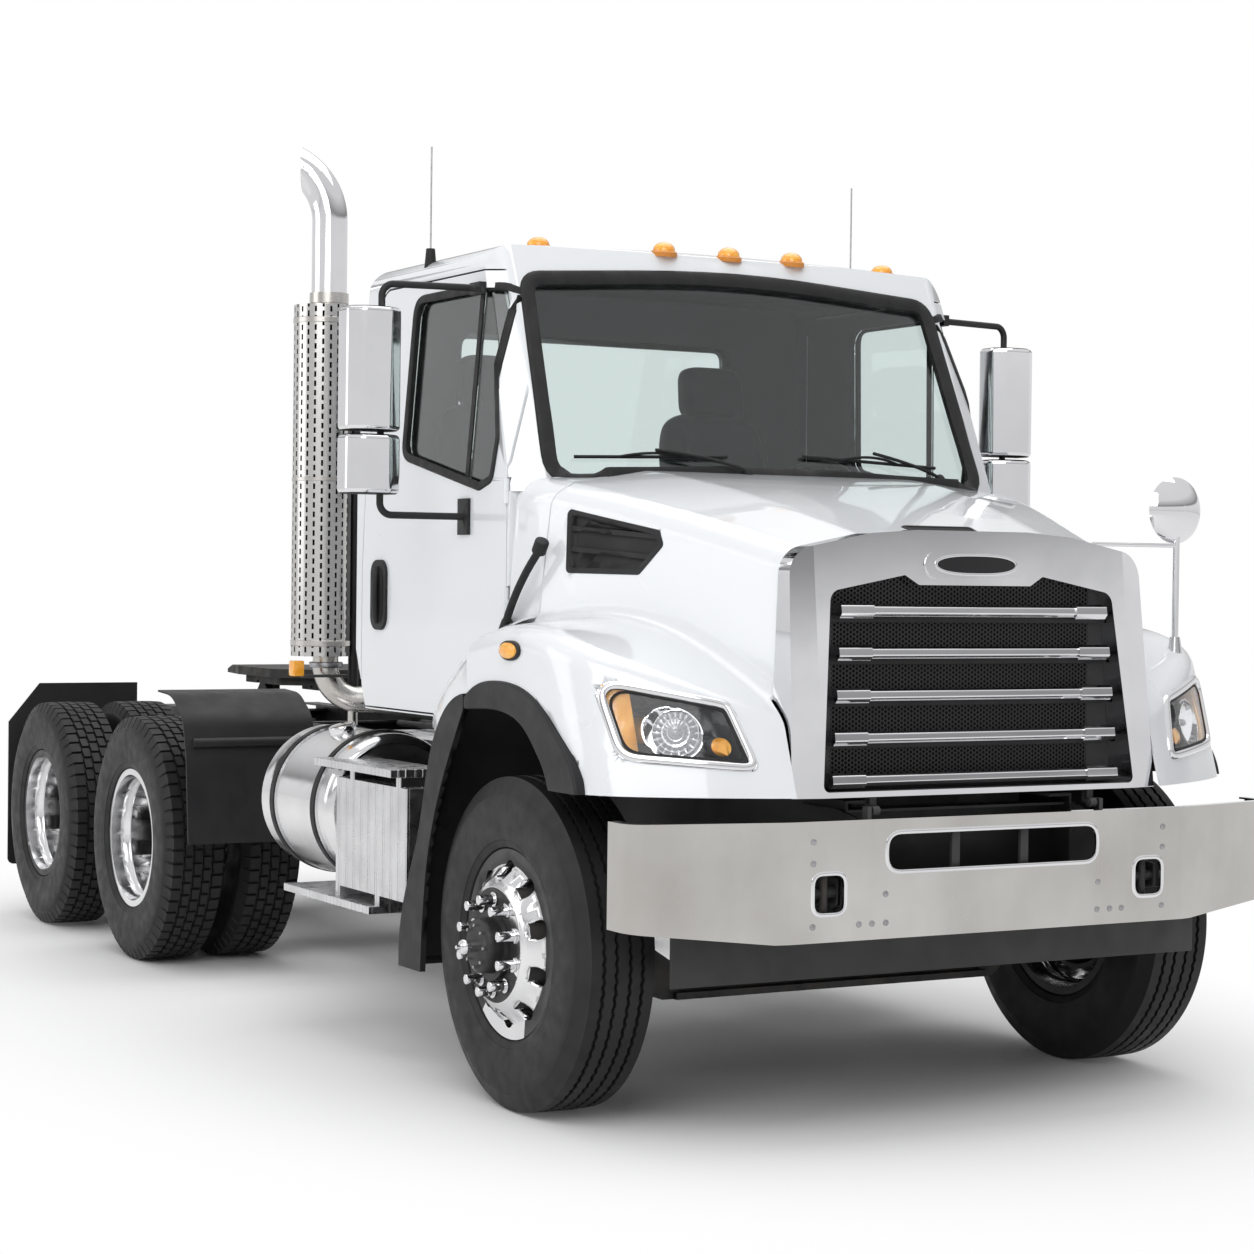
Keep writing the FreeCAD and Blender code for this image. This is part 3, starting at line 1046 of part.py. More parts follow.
surround = fused([surround, badge] + both_sides(lug))
export("grille_surround", surround)
mesh_plate = prism_x(inset_polygon(opening_points, SEAT_GAP), MESH_X, MESH_X + MESH_T, OPENING_R[::-1])
export("grille_mesh", mesh_plate)

BARS = 5
BAR_LOW = 1078.0
BAR_PITCH = 127.25
BAR_HALF_W = 541.0
BAR_TAPER = 9.0
BAR_DEPTH = 52.0
BAR_H = 48.0
BAR_SETBACK = 26.0
BAR_RAKE_SHARE = 0.04
BAR_MIDDLE_SHARE = 0.77
BAR_BLOCK_W = 120.0
BAR_R = 6.0
POST_HALF = 13.0
POST_IN = 30.0
BAR_SHARES = [(-1.0, -0.458), (-0.269, -0.5), (0, -0.167), (-0.077, 0.333), (-0.385, 0.5), (-1.0, 0.458)]


def bar_profile(x, z, share):
    return placed(BAR_SHARES, (x, z), (BAR_DEPTH * share, BAR_H * share))


bars = []
for i in range(BARS):
    z = BAR_LOW + i * BAR_PITCH
    x = nose_x - BAR_SETBACK - BAR_RAKE_SHARE * (z - BAR_LOW)
    half = BAR_HALF_W - i * BAR_TAPER
    pieces = [prism_y(bar_profile(x - BAR_R, z, BAR_MIDDLE_SHARE), -half + BAR_R, half - BAR_R, BAR_R)]
    for s in SIDES.values():
        block = bar_profile(x, z, 1)
        pieces.append(prism_y(block, s * (half - BAR_BLOCK_W), s * half, BAR_R))
        post_y = s * (half - POST_IN)
        pieces.append(box(MESH_X + MESH_T, x - BAR_H / 2, post_y - POST_HALF, post_y + POST_HALF, z - POST_HALF,
                          z + POST_HALF))
    bars.append(fused(pieces))
export("grille_bars", bars)

# Round mirror on the left fender
FM_X = 440.0
FM_Y = 1100.0
FM_BASE_Z = 1410.0
FM_TOP_Z = 1930.0
FM_R = 94.0
FM_POST_R = 11.0
FM_BOOT_R = 32.0
FM_BOOT_H = 90.0
FM_HEAD_T = 36.0
FM_DOME_R = 150.0
FM_BRACE_R = 7.0
FM_BRACE_DROP = 120.0
FM_BRACE_REACH = 360.0

fm_face = FM_X - FM_HEAD_T + STEEL
fm_brace_z = FM_TOP_Z - FM_BRACE_DROP
fm_dome = ball((fm_face + FM_HEAD_T - math.sqrt(FM_DOME_R ** 2 - FM_R ** 2), FM_Y, FM_TOP_Z), FM_DOME_R)
fender_mirror = fused([
    rod((FM_X, FM_Y, FM_BASE_Z), (FM_X, FM_Y, FM_TOP_Z), FM_POST_R),
    cone((FM_X, FM_Y, FM_BASE_Z), (FM_X, FM_Y, FM_BASE_Z + FM_BOOT_H), FM_BOOT_R, FM_POST_R + GAP),
    rod((fm_face, FM_Y, FM_TOP_Z), (fm_face + FM_HEAD_T, FM_Y, FM_TOP_Z), FM_R),
    fm_dome.common(box(fm_face + FM_HEAD_T / 2, HOOD_NOSE, FM_Y - 2 * FM_R, FM_Y + 2 * FM_R, FM_BASE_Z, ROOF_Z)),
    rod((FM_X, FM_Y, fm_brace_z), (FM_X, FM_Y - FM_BRACE_REACH, fm_brace_z), FM_BRACE_R)]).cut(hood_outer)
export("fender_mirror", max(fender_mirror.Solids, key=lambda s: s.Volume))

# Front bumper, a pressed shell open at the back, with its ends as pieces of their own
BUMPER_T = 6.0
BUMPER_TOP = 970.0
BUMPER_LOW = 612.0
BUMPER_END_LOW = 660.0
BUMPER_END_X = 670.0
BUMPER_CORNER_X = 800.0
BUMPER_BEND_Y = 740.0
BUMPER_SEAM_Y = 785.0
BUMPER_FLANGE = 30.0
BUMPER_PLAN_R = [60.0, 70.0, 0, 0, 70.0, 60.0]
SLOT_HALF_W = 397.0
SLOT_LOW = 812.0
SLOT_HIGH = 927.0
SLOT_CORNER_R = 50.0
TOW_Y = 603.0
TOW_Z = 754.0
TOW_HALF_W = 56.0
TOW_HALF_H = 59.0
TOW_CORNER_R = 34.0
BRACKET_T = 14.0

bumper_plan = [(BUMPER_FRONT, -BUMPER_BEND_Y), (BUMPER_CORNER_X, -HALF_WIDTH), (BUMPER_END_X, -HALF_WIDTH),
               (BUMPER_END_X, HALF_WIDTH), (BUMPER_CORNER_X, HALF_WIDTH), (BUMPER_FRONT, BUMPER_BEND_Y)]
side_y = HALF_WIDTH + OVERRUN
bumper_view = [(-side_y, BUMPER_TOP), (side_y, BUMPER_TOP), (side_y, BUMPER_END_LOW), (BUMPER_SEAM_Y, BUMPER_LOW),
               (-BUMPER_SEAM_Y, BUMPER_LOW), (-side_y, BUMPER_END_LOW)]


def bumper_space(inset):
    """Space inside the bumper's plan, open towards the back once it is inset."""
    plan = inset_polygon(bumper_plan, inset) if inset else bumper_plan
    plan = [(x - (4 * OVERRUN if inset and x < BUMPER_CORNER_X - 2 * BUMPER_FLANGE else 0), y) for x, y in plan]
    return prism_z(plan, BUMPER_LOW - OVERRUN, FRAME_TOP, [max(r - inset, 0) for r in BUMPER_PLAN_R])


def bumper_height(inset):
    return prism_x(inset_polygon(bumper_view, inset) if inset else bumper_view, 0, BUMPER_FRONT + OVERRUN)


def front_hole(y0, y1, z0, z1, radius):
    return prism_x([(y0, z0), (y1, z0), (y1, z1), (y0, z1)], BUMPER_CORNER_X, BUMPER_FRONT + OVERRUN, radius)


slot_hole = front_hole(-SLOT_HALF_W, SLOT_HALF_W, SLOT_LOW, SLOT_HIGH, SLOT_CORNER_R)
tow_hole = front_hole(TOW_Y - TOW_HALF_W, TOW_Y + TOW_HALF_W, TOW_Z - TOW_HALF_H, TOW_Z + TOW_HALF_H, TOW_CORNER_R)
bumper = bumper_space(0).common(bumper_height(0)).cut(bumper_space(BUMPER_T).common(bumper_height(BUMPER_T)))
bumper = bumper.cut([bumper_space(BUMPER_FLANGE), slot_hole, tow_hole, mirrored(tow_hole)])
span = (0, BUMPER_FRONT + OVERRUN)
middle_space = box(*span, -BUMPER_SEAM_Y, BUMPER_SEAM_Y, 0, FRAME_TOP)
end_space = box(*span, BUMPER_SEAM_Y + SEAT_GAP, side_y, 0, FRAME_TOP)
export("front_bumper", bumper.common(middle_space))
export("bumper_ends", both_sides(bumper.common(end_space)))

# Brackets that join bumper, tow pins and hood hinge to the rails
BRACKET_REAR = 500.0
BRACKET_LOW = 690.0
BRACKET_STEP_X = 770.0
BRACKET_STEP_Z = 770.0
BRACKET_HIGH = 985.0
BRACKET_DIP = 958.0
TOW_BAR_R = 17.0
TOW_BAR_SETBACK = 45.0
TOW_PLATE_T = 12.0
TOW_PLATE_X = 720.0
TOW_PLATE_HALF_H = 54.0

bumper_back = BUMPER_FRONT - BUMPER_T
bracket_y = (FRAME_HALF, FRAME_HALF + BRACKET_T)
tow_x = BUMPER_FRONT - TOW_BAR_SETBACK
tow_in, tow_out = TOW_Y - TOW_HALF_W + SEAT_GAP, TOW_Y + TOW_HALF_W - SEAT_GAP - TOW_PLATE_T
bracket = prism_y([
    (BRACKET_REAR, BRACKET_STEP_Z), (BRACKET_REAR, BRACKET_HIGH), (SURROUND_BACK, BRACKET_HIGH),
    (hinge_x - LUG_R, BRACKET_DIP), (hinge_x - LUG_R, HINGE_Z + LUG_R - 1), (hinge_x + LUG_R, HINGE_Z + LUG_R - 1),
    (hinge_x + LUG_R, BRACKET_DIP), (bumper_back, BRACKET_DIP - STEEL), (bumper_back, BRACKET_LOW),
    (BRACKET_STEP_X, BRACKET_LOW), (BRACKET_STEP_X - TOW_BAR_R, BRACKET_STEP_Z)], *bracket_y)
hinge_pin = rod((hinge_x, LUG_Y - GAP, HINGE_Z), (hinge_x, bracket_y[0], HINGE_Z), HINGE_PIN_R)
tow_bar = rod((tow_x, tow_in, TOW_Z), (tow_x, tow_out + TOW_PLATE_T, TOW_Z), TOW_BAR_R)
tow_low, tow_high = TOW_Z - TOW_PLATE_HALF_H, TOW_Z + TOW_PLATE_HALF_H
nose_half = TOW_PLATE_HALF_H - TOW_BAR_R
plate_side = [(TOW_PLATE_X, tow_low), (TOW_PLATE_X, tow_high), (tow_x + TOW_BAR_R, TOW_Z + nose_half),
              (tow_x + TOW_BAR_R, TOW_Z - nose_half)]
tow_plates = [prism_y(plate_side, y, y + TOW_PLATE_T) for y in (tow_in, tow_out)]
tow_arm = box(TOW_PLATE_X, TOW_PLATE_X + TOW_PLATE_T, bracket_y[1], tow_out + TOW_PLATE_T, tow_low, tow_high)
export("bumper_brackets", both_sides(fused([bracket, hinge_pin, tow_bar, tow_arm] + tow_plates)))

# Coupling plate that pitches on its stands
FW_AHEAD = 120.0
FW_TOP = 1245.0
FW_PIVOT_Z = 1165.0
FW_T = 40.0
FW_FRONT = 470.0
FW_REAR = 450.0
FW_HALF_W = 455.0
THROAT_HALF = 26.5
THROAT_STRAIGHT = 120.0
THROAT_MOUTH_HALF = 150.0
FW_RAMP = 200.0
FW_RAMP_DROP = 38.0
EAR_Y = 330.0
FW_EAR_T = 30.0
FW_EAR_HALF = 60.0
JAW_HALF_W = 150.0
JAW_FRONT = 160.0
JAW_REAR = 110.0
JAW_DEPTH = 110.0
SKIRT_T = 15.0
SKIRT_DEPTH = 75.0
PIVOT_R = 20.0
PIVOT_BOSS_R = 34.0
STAND_Y = 366.0
STAND_T = 28.0
STAND_HALF = 180.0
STAND_FOOT_HALF = 420.0
STAND_FOOT_T = 14.0
STAND_FOOT_IN = 300.0
STAND_FOOT_OUT = 30.0
FW_SHARES = [(1.0, -0.55), (1.0, 0.55), (0.64, 1.0), (-0.33, 1.0), (-1.0, 0.88), (-1.0, -0.88), (-0.33, -1.0), (0.64, -1.0)]
FW_R = [160.0, 160.0, 120.0, 60.0, 40.0, 40.0, 60.0, 120.0]
SKIRT_SHARES = [(0.915, -0.505), (0.915, 0.505), (0.596, 0.912), (-0.34, 0.912), (-0.34, -0.912), (0.596, -0.912)]

fw_x = -WHEELBASE + FW_AHEAD


def plan_points(shares, inset=0):
    """Plan outline round the coupling's pivot, from shares of its length and half width."""
    points = []
    for a, b in shares:
        reach = FW_FRONT if a > 0 else FW_REAR
        points.append((fw_x + a * reach - math.copysign(inset, a), b * FW_HALF_W - math.copysign(inset, b)))
    return points


plate_under = FW_TOP - FW_T
fw_plate = prism_z(plan_points(FW_SHARES), plate_under, FW_TOP, FW_R)
skirt = prism_z(plan_points(SKIRT_SHARES), FW_TOP - SKIRT_DEPTH, FW_TOP - GAP)
skirt_inside = plan_points(SKIRT_SHARES, SKIRT_T)
skirt_inside = [(x - (2 * SKIRT_T if x < fw_x else 0), y) for x, y in skirt_inside]
skirt = skirt.cut(prism_z([(x - OVERRUN if x < fw_x else x, y) for x, y in skirt_inside], plate_under - OVERRUN, plate_under))
mouth = fw_x - FW_REAR - OVERRUN
throat = prism_z([(fw_x, -THROAT_HALF), (fw_x, THROAT_HALF), (fw_x - THROAT_STRAIGHT, THROAT_HALF),
                  (mouth, THROAT_MOUTH_HALF), (mouth, -THROAT_MOUTH_HALF), (fw_x - THROAT_STRAIGHT, -THROAT_HALF)],
                 FW_TOP - 2 * JAW_DEPTH, FW_TOP + OVERRUN)
throat = throat.fuse(rod((fw_x, 0, FW_TOP - 2 * JAW_DEPTH), (fw_x, 0, FW_TOP + OVERRUN), THROAT_HALF))
ears = [box(fw_x - FW_EAR_HALF, fw_x + FW_EAR_HALF, s * EAR_Y, s * (EAR_Y + FW_EAR_T), FW_PIVOT_Z - FW_EAR_T, FW_TOP - GAP)
        for s in SIDES.values()]
jaw = box(fw_x - JAW_REAR, fw_x + JAW_FRONT, -JAW_HALF_W, JAW_HALF_W, FW_TOP - JAW_DEPTH, FW_TOP - GAP)
pivot_bore = rod((fw_x, -FW_HALF_W, FW_PIVOT_Z), (fw_x, FW_HALF_W, FW_PIVOT_Z), PIVOT_R + SEAT_GAP)
ramp_rear = fw_x - FW_REAR - OVERRUN
ramp = prism_y([(ramp_rear + FW_RAMP, FW_TOP + OVERRUN), (ramp_rear, FW_TOP + OVERRUN), (ramp_rear, FW_TOP - FW_RAMP_DROP),
                (ramp_rear + FW_RAMP, FW_TOP)], -2 * FW_HALF_W, 2 * FW_HALF_W)
export("fifth_wheel_plate", fused([fw_plate, jaw, skirt] + ears).cut([throat, ramp, pivot_bore]))
foot_top = FRAME_TOP + STAND_FOOT_T
stand = fused([
    prism_y([(fw_x - STAND_HALF, foot_top), (fw_x + STAND_HALF, foot_top), (fw_x + PIVOT_BOSS_R - 1, FW_PIVOT_Z),
             (fw_x - PIVOT_BOSS_R + 1, FW_PIVOT_Z)], STAND_Y, STAND_Y + STAND_T),
    rod((fw_x, STAND_Y, FW_PIVOT_Z), (fw_x, STAND_Y + STAND_T, FW_PIVOT_Z), PIVOT_BOSS_R),
    box(fw_x - STAND_FOOT_HALF, fw_x + STAND_FOOT_HALF, STAND_FOOT_IN, FRAME_HALF + STAND_FOOT_OUT, FRAME_TOP, foot_top),
    rod((fw_x, EAR_Y - GAP, FW_PIVOT_Z), (fw_x, STAND_Y + STAND_T, FW_PIVOT_Z), PIVOT_R)])
export("fifth_wheel_stands", both_sides(stand))

# Fuel tanks with straps, and access steps ahead of them
TANK_R = 275.0
TANK_REAR = -2110.0
TANK_FRONT = -1440.0
TANK_Y = 940.0
TANK_Z = 825.0
TANK_END_R = 40.0
STRAP_T = 5.0
BELT_W = 50.0
BELT_SHARES = (0.19, 0.78)
CRADLE_TOP = 1000.0
CRADLE_LOW = 480.0
CRADLE_OUT = 268.0
STEP_Y = 1000.0
STEP_BACK_Y = 940.0
STEP_T = 27.0
UPPER_STEP_Z = 1012.0
UPPER_STEP = (-1555.0, -870.0)
LOWER_STEP_Z = 525.0
LOWER_STEP = (-1830.0, -1045.0)
STEP_BOX = (-1434.0, -821.0)
STEP_BOX_LOW = 560.0
STEP_BOX_HIGH = 950.0
STEP_BOX_INSET = 40.0
STEP_ARM_W = 40.0
STEP_ARM_DROP = 45.0
STEP_ARM_SHARES = (0.2, 0.85)

tank_axis = [(x, TANK_Y, TANK_Z) for x in (TANK_REAR, TANK_FRONT)]
tank = rod(*tank_axis, TANK_R)
tank = tank.makeFillet(TANK_END_R, [e for e in tank.Edges if abs(e.Length - 2 * math.pi * TANK_R) < 1])
tank_space = rod(*tank_axis, TANK_R)
tank_parts = [tank]
for share in BELT_SHARES:
    x = TANK_REAR + share * (TANK_FRONT - TANK_REAR)
    ring = rod((x, TANK_Y, TANK_Z), (x + BELT_W, TANK_Y, TANK_Z), TANK_R + STRAP_T)
    cradle = prism_x([(FRAME_HALF, CRADLE_TOP - TANK_R), (FRAME_HALF, CRADLE_TOP), (TANK_Y - TANK_R, CRADLE_TOP),
                      (TANK_Y - TANK_R - STRAP_T, TANK_Z), (FRAME_HALF + CRADLE_OUT, CRADLE_LOW),
                      (TANK_Y - TANK_R, CRADLE_LOW)], x, x + BELT_W)
    tank_parts.append(fused([ring, cradle]).cut(tank_space))
export("fuel_tanks", both_sides(fused(tank_parts)))

step_box_y = (STEP_BACK_Y, HALF_WIDTH - STEP_BOX_INSET)
step_parts = [
    box(*UPPER_STEP, STEP_Y, HALF_WIDTH, UPPER_STEP_Z - STEP_T, UPPER_STEP_Z),
    box(*LOWER_STEP, STEP_Y, HALF_WIDTH, LOWER_STEP_Z - STEP_T, LOWER_STEP_Z),
    box(*STEP_BOX, *step_box_y, STEP_BOX_LOW, STEP_BOX_HIGH)]
for share in STEP_ARM_SHARES:
    x = STEP_BOX[0] + share * (STEP_BOX[1] - STEP_BOX[0])
    step_parts.append(box(x, x + STEP_ARM_W, FRAME_HALF, STEP_Y + STEEL, UPPER_STEP_Z - STEP_T - STEP_ARM_DROP,
                          UPPER_STEP_Z - STEP_T))
    step_parts.append(box(x, x + STEP_ARM_W, STEP_BACK_Y, HALF_WIDTH - STEP_BOX_INSET, STEP_BOX_HIGH - STEEL,
                          UPPER_STEP_Z - STEP_T))
for x in (STEP_BOX[0], LOWER_STEP[1] - STEP_ARM_W):
    step_parts.append(box(x, x + STEP_ARM_W, STEP_BACK_Y, HALF_WIDTH, LOWER_STEP_Z - STEP_T, LOWER_STEP_Z))
    step_parts.append(box(x, x + STEP_ARM_W, STEP_BACK_Y, HALF_WIDTH - STEP_BOX_INSET, LOWER_STEP_Z - STEEL, STEP_BOX_LOW + STEEL))
clear_tank = rod((TANK_REAR, TANK_Y, TANK_Z), (TANK_FRONT + GAP, TANK_Y, TANK_Z), TANK_R + STRAP_T + GAP)
export("cab_steps", both_sides(fused(step_parts).cut(clear_tank)))

# Exhaust stack on the right: pipe with a curved tip, perforated shield, clamp, elbow and its post
PIPE_X = -2200.0
PIPE_Y = -907.0
PIPE_R = 68.7
PIPE_WALL = 4.0
SHIELD_OUT = 23.0
SHIELD_R = 114.0
SHIELD_WALL = 4.0
SHIELD_LOW = 1360.0
SHIELD_TOP = 2720.0
SHIELD_RING = 12.0
CLAMP_LOW = 2730.0
CLAMP_H = 40.0
CLAMP_T = 7.0
TIP_BEND_Z = 3050.0
TIP_R = 250.0
TIP_TURN = 60.0
TIP_OUT = 108.0
TIP_YAW = 60.0
ELBOW_R = 50.0
ELBOW_Z = 1190.0
ELBOW_BEND = 130.0
ELBOW_END_Y = 552.0
ELBOW_END_X = 150.0
POST_R = 20.0
POST_Y = 790.0
POST_LOW = 900.0
POST_TOP = 2500.0
POST_FOOT_H = 85.0
ARM_R = 16.0
ARM_SHARES = (0.1, 0.78)

turn = math.radians(TIP_TURN)
yaw = math.radians(TIP_YAW)
out = (-math.cos(yaw), -math.sin(yaw))
corner_z = TIP_BEND_Z + TIP_R * math.tan(turn / 2)
run = TIP_R * math.tan(turn / 2) + PIPE_R
tip_end = (PIPE_X + out[0] * run * math.sin(turn), PIPE_Y + out[1] * run * math.sin(turn), corner_z + run * math.cos(turn))
corner = (PIPE_X, PIPE_Y, corner_z)
stack_pipe = pipe([(PIPE_X, PIPE_Y, SHIELD_LOW + SHIELD_RING), corner, tip_end], PIPE_R, TIP_R)
tip_bore = pipe([(PIPE_X, PIPE_Y, TIP_BEND_Z - PIPE_R), corner, tip_end], PIPE_R - PIPE_WALL, TIP_R)
beyond = box(TIP_OUT, TIP_OUT + 4 * PIPE_R, -4 * PIPE_R, 4 * PIPE_R, TIP_BEND_Z, corner_z + TIP_R + PIPE_R)
beyond.rotate(V(0, 0, 0), V(0, 0, 1), 180.0 + TIP_YAW)
beyond.translate(V(PIPE_X, PIPE_Y, 0))
stack_pipe = stack_pipe.cut([tip_bore, beyond])
elbow = pipe([(PIPE_X + ELBOW_END_X, -ELBOW_END_Y, ELBOW_Z), (PIPE_X, PIPE_Y, ELBOW_Z), (PIPE_X, PIPE_Y, SHIELD_LOW + CLAMP_H)],
             ELBOW_R, ELBOW_BEND)
shield_y = PIPE_Y - SHIELD_OUT


def stack_tube(z0, z1, y, outer_r, inner_r):
    tube = rod((PIPE_X, y, z0), (PIPE_X, y, z1), outer_r)
    return tube.cut(rod((PIPE_X, y, z0 - OVERRUN), (PIPE_X, y, z1 + OVERRUN), inner_r))


shield_bore = SHIELD_R - SHIELD_WALL
stack = [stack_pipe, elbow, stack_tube(SHIELD_LOW, SHIELD_TOP, shield_y, SHIELD_R, shield_bore),
         stack_tube(CLAMP_LOW, CLAMP_LOW + CLAMP_H, PIPE_Y, PIPE_R + CLAMP_T, PIPE_R - PIPE_WALL / 2)]
for z in (SHIELD_LOW + SHIELD_RING, SHIELD_TOP - 2 * SHIELD_RING):
    ring = rod((PIPE_X, shield_y, z), (PIPE_X, shield_y, z + SHIELD_RING), shield_bore + SHIELD_WALL / 2)
    stack.append(ring.cut(rod((PIPE_X, PIPE_Y, z - OVERRUN), (PIPE_X, PIPE_Y, z + OVERRUN), PIPE_R - PIPE_WALL / 2)))
stack.append(box(PIPE_X - 2 * POST_R, PIPE_X + 2 * POST_R, -POST_Y - 2 * POST_R, -FRAME_HALF, POST_LOW, POST_LOW + POST_FOOT_H))
stack.append(rod((PIPE_X, -POST_Y, POST_LOW), (PIPE_X, -POST_Y, POST_TOP), POST_R))
for share in ARM_SHARES:
    z = SHIELD_LOW + share * (SHIELD_TOP - SHIELD_LOW)
    stack.append(rod((PIPE_X, -POST_Y, z), (PIPE_X, shield_y + shield_bore + SHIELD_WALL / 2, z), ARM_R))
export("exhaust_stack", fused(stack))

# Quarter fenders ahead of the forward drive wheels and flaps behind the rearmost ones
QF_IN_Y = 640.0
QF_INSET = 10.0
QF_T = 8.0
QF_AHEAD = 745.0
QF_LENGTH = 390.0
QF_LOW = 565.0
QF_H = 610.0
QF_R = [0, 300.0, 120.0, 200.0, 0]
QF_SHARES = [(0.0, 0.0), (0.085, 0.566), (0.2, 0.844), (0.55, 0.984), (0.98, 1.0)]
QF_TUBE_R = 20.0
QF_TUBE_Z = 980.0
QF_TUBE_AHEAD = 14.0
FLAP_LOW = 225.0
FLAP_TOP = 1120.0
FLAP_OUT = 20.0
FLAP_CHAMFER_Y = 155.0
FLAP_CHAMFER_Z = 190.0
FLAP_IN_Y = 542.0
FLAP_SKIRT_Y = 640.0
FLAP_SKIRT_Z = 760.0
FLAP_CORNER_R = 30.0
FLAP_TUBE_Z = 900.0
FLAP_TUBE_R = 20.0
FLAP_TAB_SHARES = (0.49, 0.87)
FLAP_TAB_W = 30.0
FLAP_TAB_H = 80.0

qf_line = placed(QF_SHARES, (DRIVE_AXLES[0] + QF_AHEAD, QF_LOW), (-QF_LENGTH, QF_H))
qf_band = qf_line + offset_path(qf_line, QF_T)[::-1]
quarter = prism_y(qf_band, QF_IN_Y, HALF_WIDTH - QF_INSET, QF_R + QF_R[::-1])
tube_x = DRIVE_AXLES[0] + QF_AHEAD + QF_TUBE_AHEAD - 0.11 * QF_LENGTH
quarter_tube = rod((tube_x, FRAME_HALF, QF_TUBE_Z), (tube_x, HALF_WIDTH - 4 * QF_INSET, QF_TUBE_Z), QF_TUBE_R)
export("quarter_fenders", both_sides(fused([quarter, quarter_tube])))
flap_y = HALF_WIDTH - FLAP_OUT
flap = prism_x([(FLAP_IN_Y, FLAP_TOP), (flap_y - FLAP_CHAMFER_Y, FLAP_TOP), (flap_y, FLAP_TOP - FLAP_CHAMFER_Z),
                (flap_y, FLAP_LOW), (FLAP_SKIRT_Y, FLAP_LOW), (FLAP_SKIRT_Y, FLAP_SKIRT_Z), (FLAP_IN_Y, FLAP_SKIRT_Z)],
               -REAR_END, -REAR_END + QF_T, [0, 0, 0, FLAP_CORNER_R, FLAP_CORNER_R, 0, 0])
flap_x = -REAR_END + 2 * FLAP_TUBE_R
flap_parts = [flap, rod((flap_x, FRAME_HALF, FLAP_TUBE_Z), (flap_x, flap_y - FLAP_TAB_H, FLAP_TUBE_Z), FLAP_TUBE_R)]
for share in FLAP_TAB_SHARES:
    y = share * HALF_WIDTH
    flap_parts.append(box(-REAR_END, flap_x, y, y + FLAP_TAB_W, FLAP_TUBE_Z - FLAP_TAB_H / 2, FLAP_TUBE_Z + FLAP_TAB_H / 2))
export("mud_flaps", both_sides(fused(flap_parts)))

# Door mirrors: two heads on one bent arm between a pad above the window and one below it
MIRROR_X = -803.0
MIRROR_OUT = 311.0
MIRROR_HEAD_X = -812.0
MIRROR_HEAD_Y = 344.0
MIRROR_W = 200.0
MIRROR_DEPTH = 135.0
MIRROR_LOW = 2161.0
MIRROR_TOP = 2578.0
SMALL_LOW = 1949.0
SMALL_TOP = 2150.0
MIRROR_R = [20.0, 30.0, 45.0, 45.0, 30.0, 20.0]
MIRROR_EDGE_R = 18.0
MIRROR_ARM_R = 12.0
MIRROR_BEND_R = 42.0
TOP_PAD_X = -756.0
TOP_PAD_Z = 2658.0
LOW_PAD_X = -785.0
LOW_PAD_Z = 1880.0
PAD_HALF_W = 40.0
PAD_T = 22.0
TOP_PAD_HALF_H = 20.0
LOW_PAD_HALF_H = 62.0
# Plan of a head from its glass side: share of its depth, share of its width
MIRROR_SHARES = [(-0.5, -0.485), (0.167, -0.515), (0.5, -0.22), (0.5, 0.23), (0.167, 0.485), (-0.5, 0.485)]

door_face = CAB_HALF - PAD_T / 2
arm_y = CAB_HALF + MIRROR_OUT
head_plan = placed(MIRROR_SHARES, (MIRROR_HEAD_X, CAB_HALF + MIRROR_HEAD_Y), (MIRROR_DEPTH, MIRROR_W))


def mirror_head(low, high):
    head = prism_z(head_plan, low, high, MIRROR_R)
    return head.makeFillet(MIRROR_EDGE_R, [e for e in head.Edges if e.BoundBox.ZLength < 1])


mirror = fused([
    box(TOP_PAD_X - PAD_HALF_W, TOP_PAD_X + PAD_HALF_W, door_face - 2 * PAD_T, door_face, TOP_PAD_Z - TOP_PAD_HALF_H,
        TOP_PAD_Z + TOP_PAD_HALF_H),
    box(LOW_PAD_X - PAD_HALF_W, LOW_PAD_X + PAD_HALF_W, door_face, door_face + PAD_T, LOW_PAD_Z - LOW_PAD_HALF_H,
        LOW_PAD_Z + LOW_PAD_HALF_H),
    pipe([(TOP_PAD_X, door_face - PAD_T, TOP_PAD_Z), (TOP_PAD_X, CAB_HALF + PAD_T, TOP_PAD_Z), (MIRROR_X, arm_y, TOP_PAD_Z),
          (MIRROR_X, arm_y, MIRROR_LOW)], MIRROR_ARM_R, MIRROR_BEND_R),
    pipe([(MIRROR_X, arm_y, MIRROR_LOW + PAD_T), (MIRROR_X, arm_y, LOW_PAD_Z), (LOW_PAD_X, door_face + PAD_T / 2, LOW_PAD_Z)],
         MIRROR_ARM_R, MIRROR_BEND_R),
    mirror_head(MIRROR_LOW, MIRROR_TOP), mirror_head(SMALL_LOW, SMALL_TOP)]).cut(cab_outer)
left_mirror = max(mirror.Solids, key=lambda s: s.Volume)
export("left_door_mirror", left_mirror)
export("right_door_mirror", mirrored(left_mirror))

# Seats
SEAT_Y = 480.0
SEAT_X = -1310.0
SEAT_LENGTH = 500.0
SEAT_HALF_W = 255.0
SEAT_LOW = 1640.0
SEAT_H = 840.0
PEDESTAL_HALF_W = 180.0
PEDESTAL_INSET = 60.0
CUSHION_R = 30.0
HEADREST_HALF_W = 130.0
# Side views: share of the length from the middle, share of the height
CUSHION_SHARES = [(-0.5, 0.0), (0.5, 0.0), (0.5, 0.16), (-0.5, 0.13)]
BACK_SHARES = [(-0.34, 0.05), (-0.56, 0.79), (-0.68, 0.79), (-0.6, 0.0)]
HEADREST_SHARES = [(-0.53, 0.77), (-0.55, 1.0), (-0.69, 1.0), (-0.67, 0.77)]

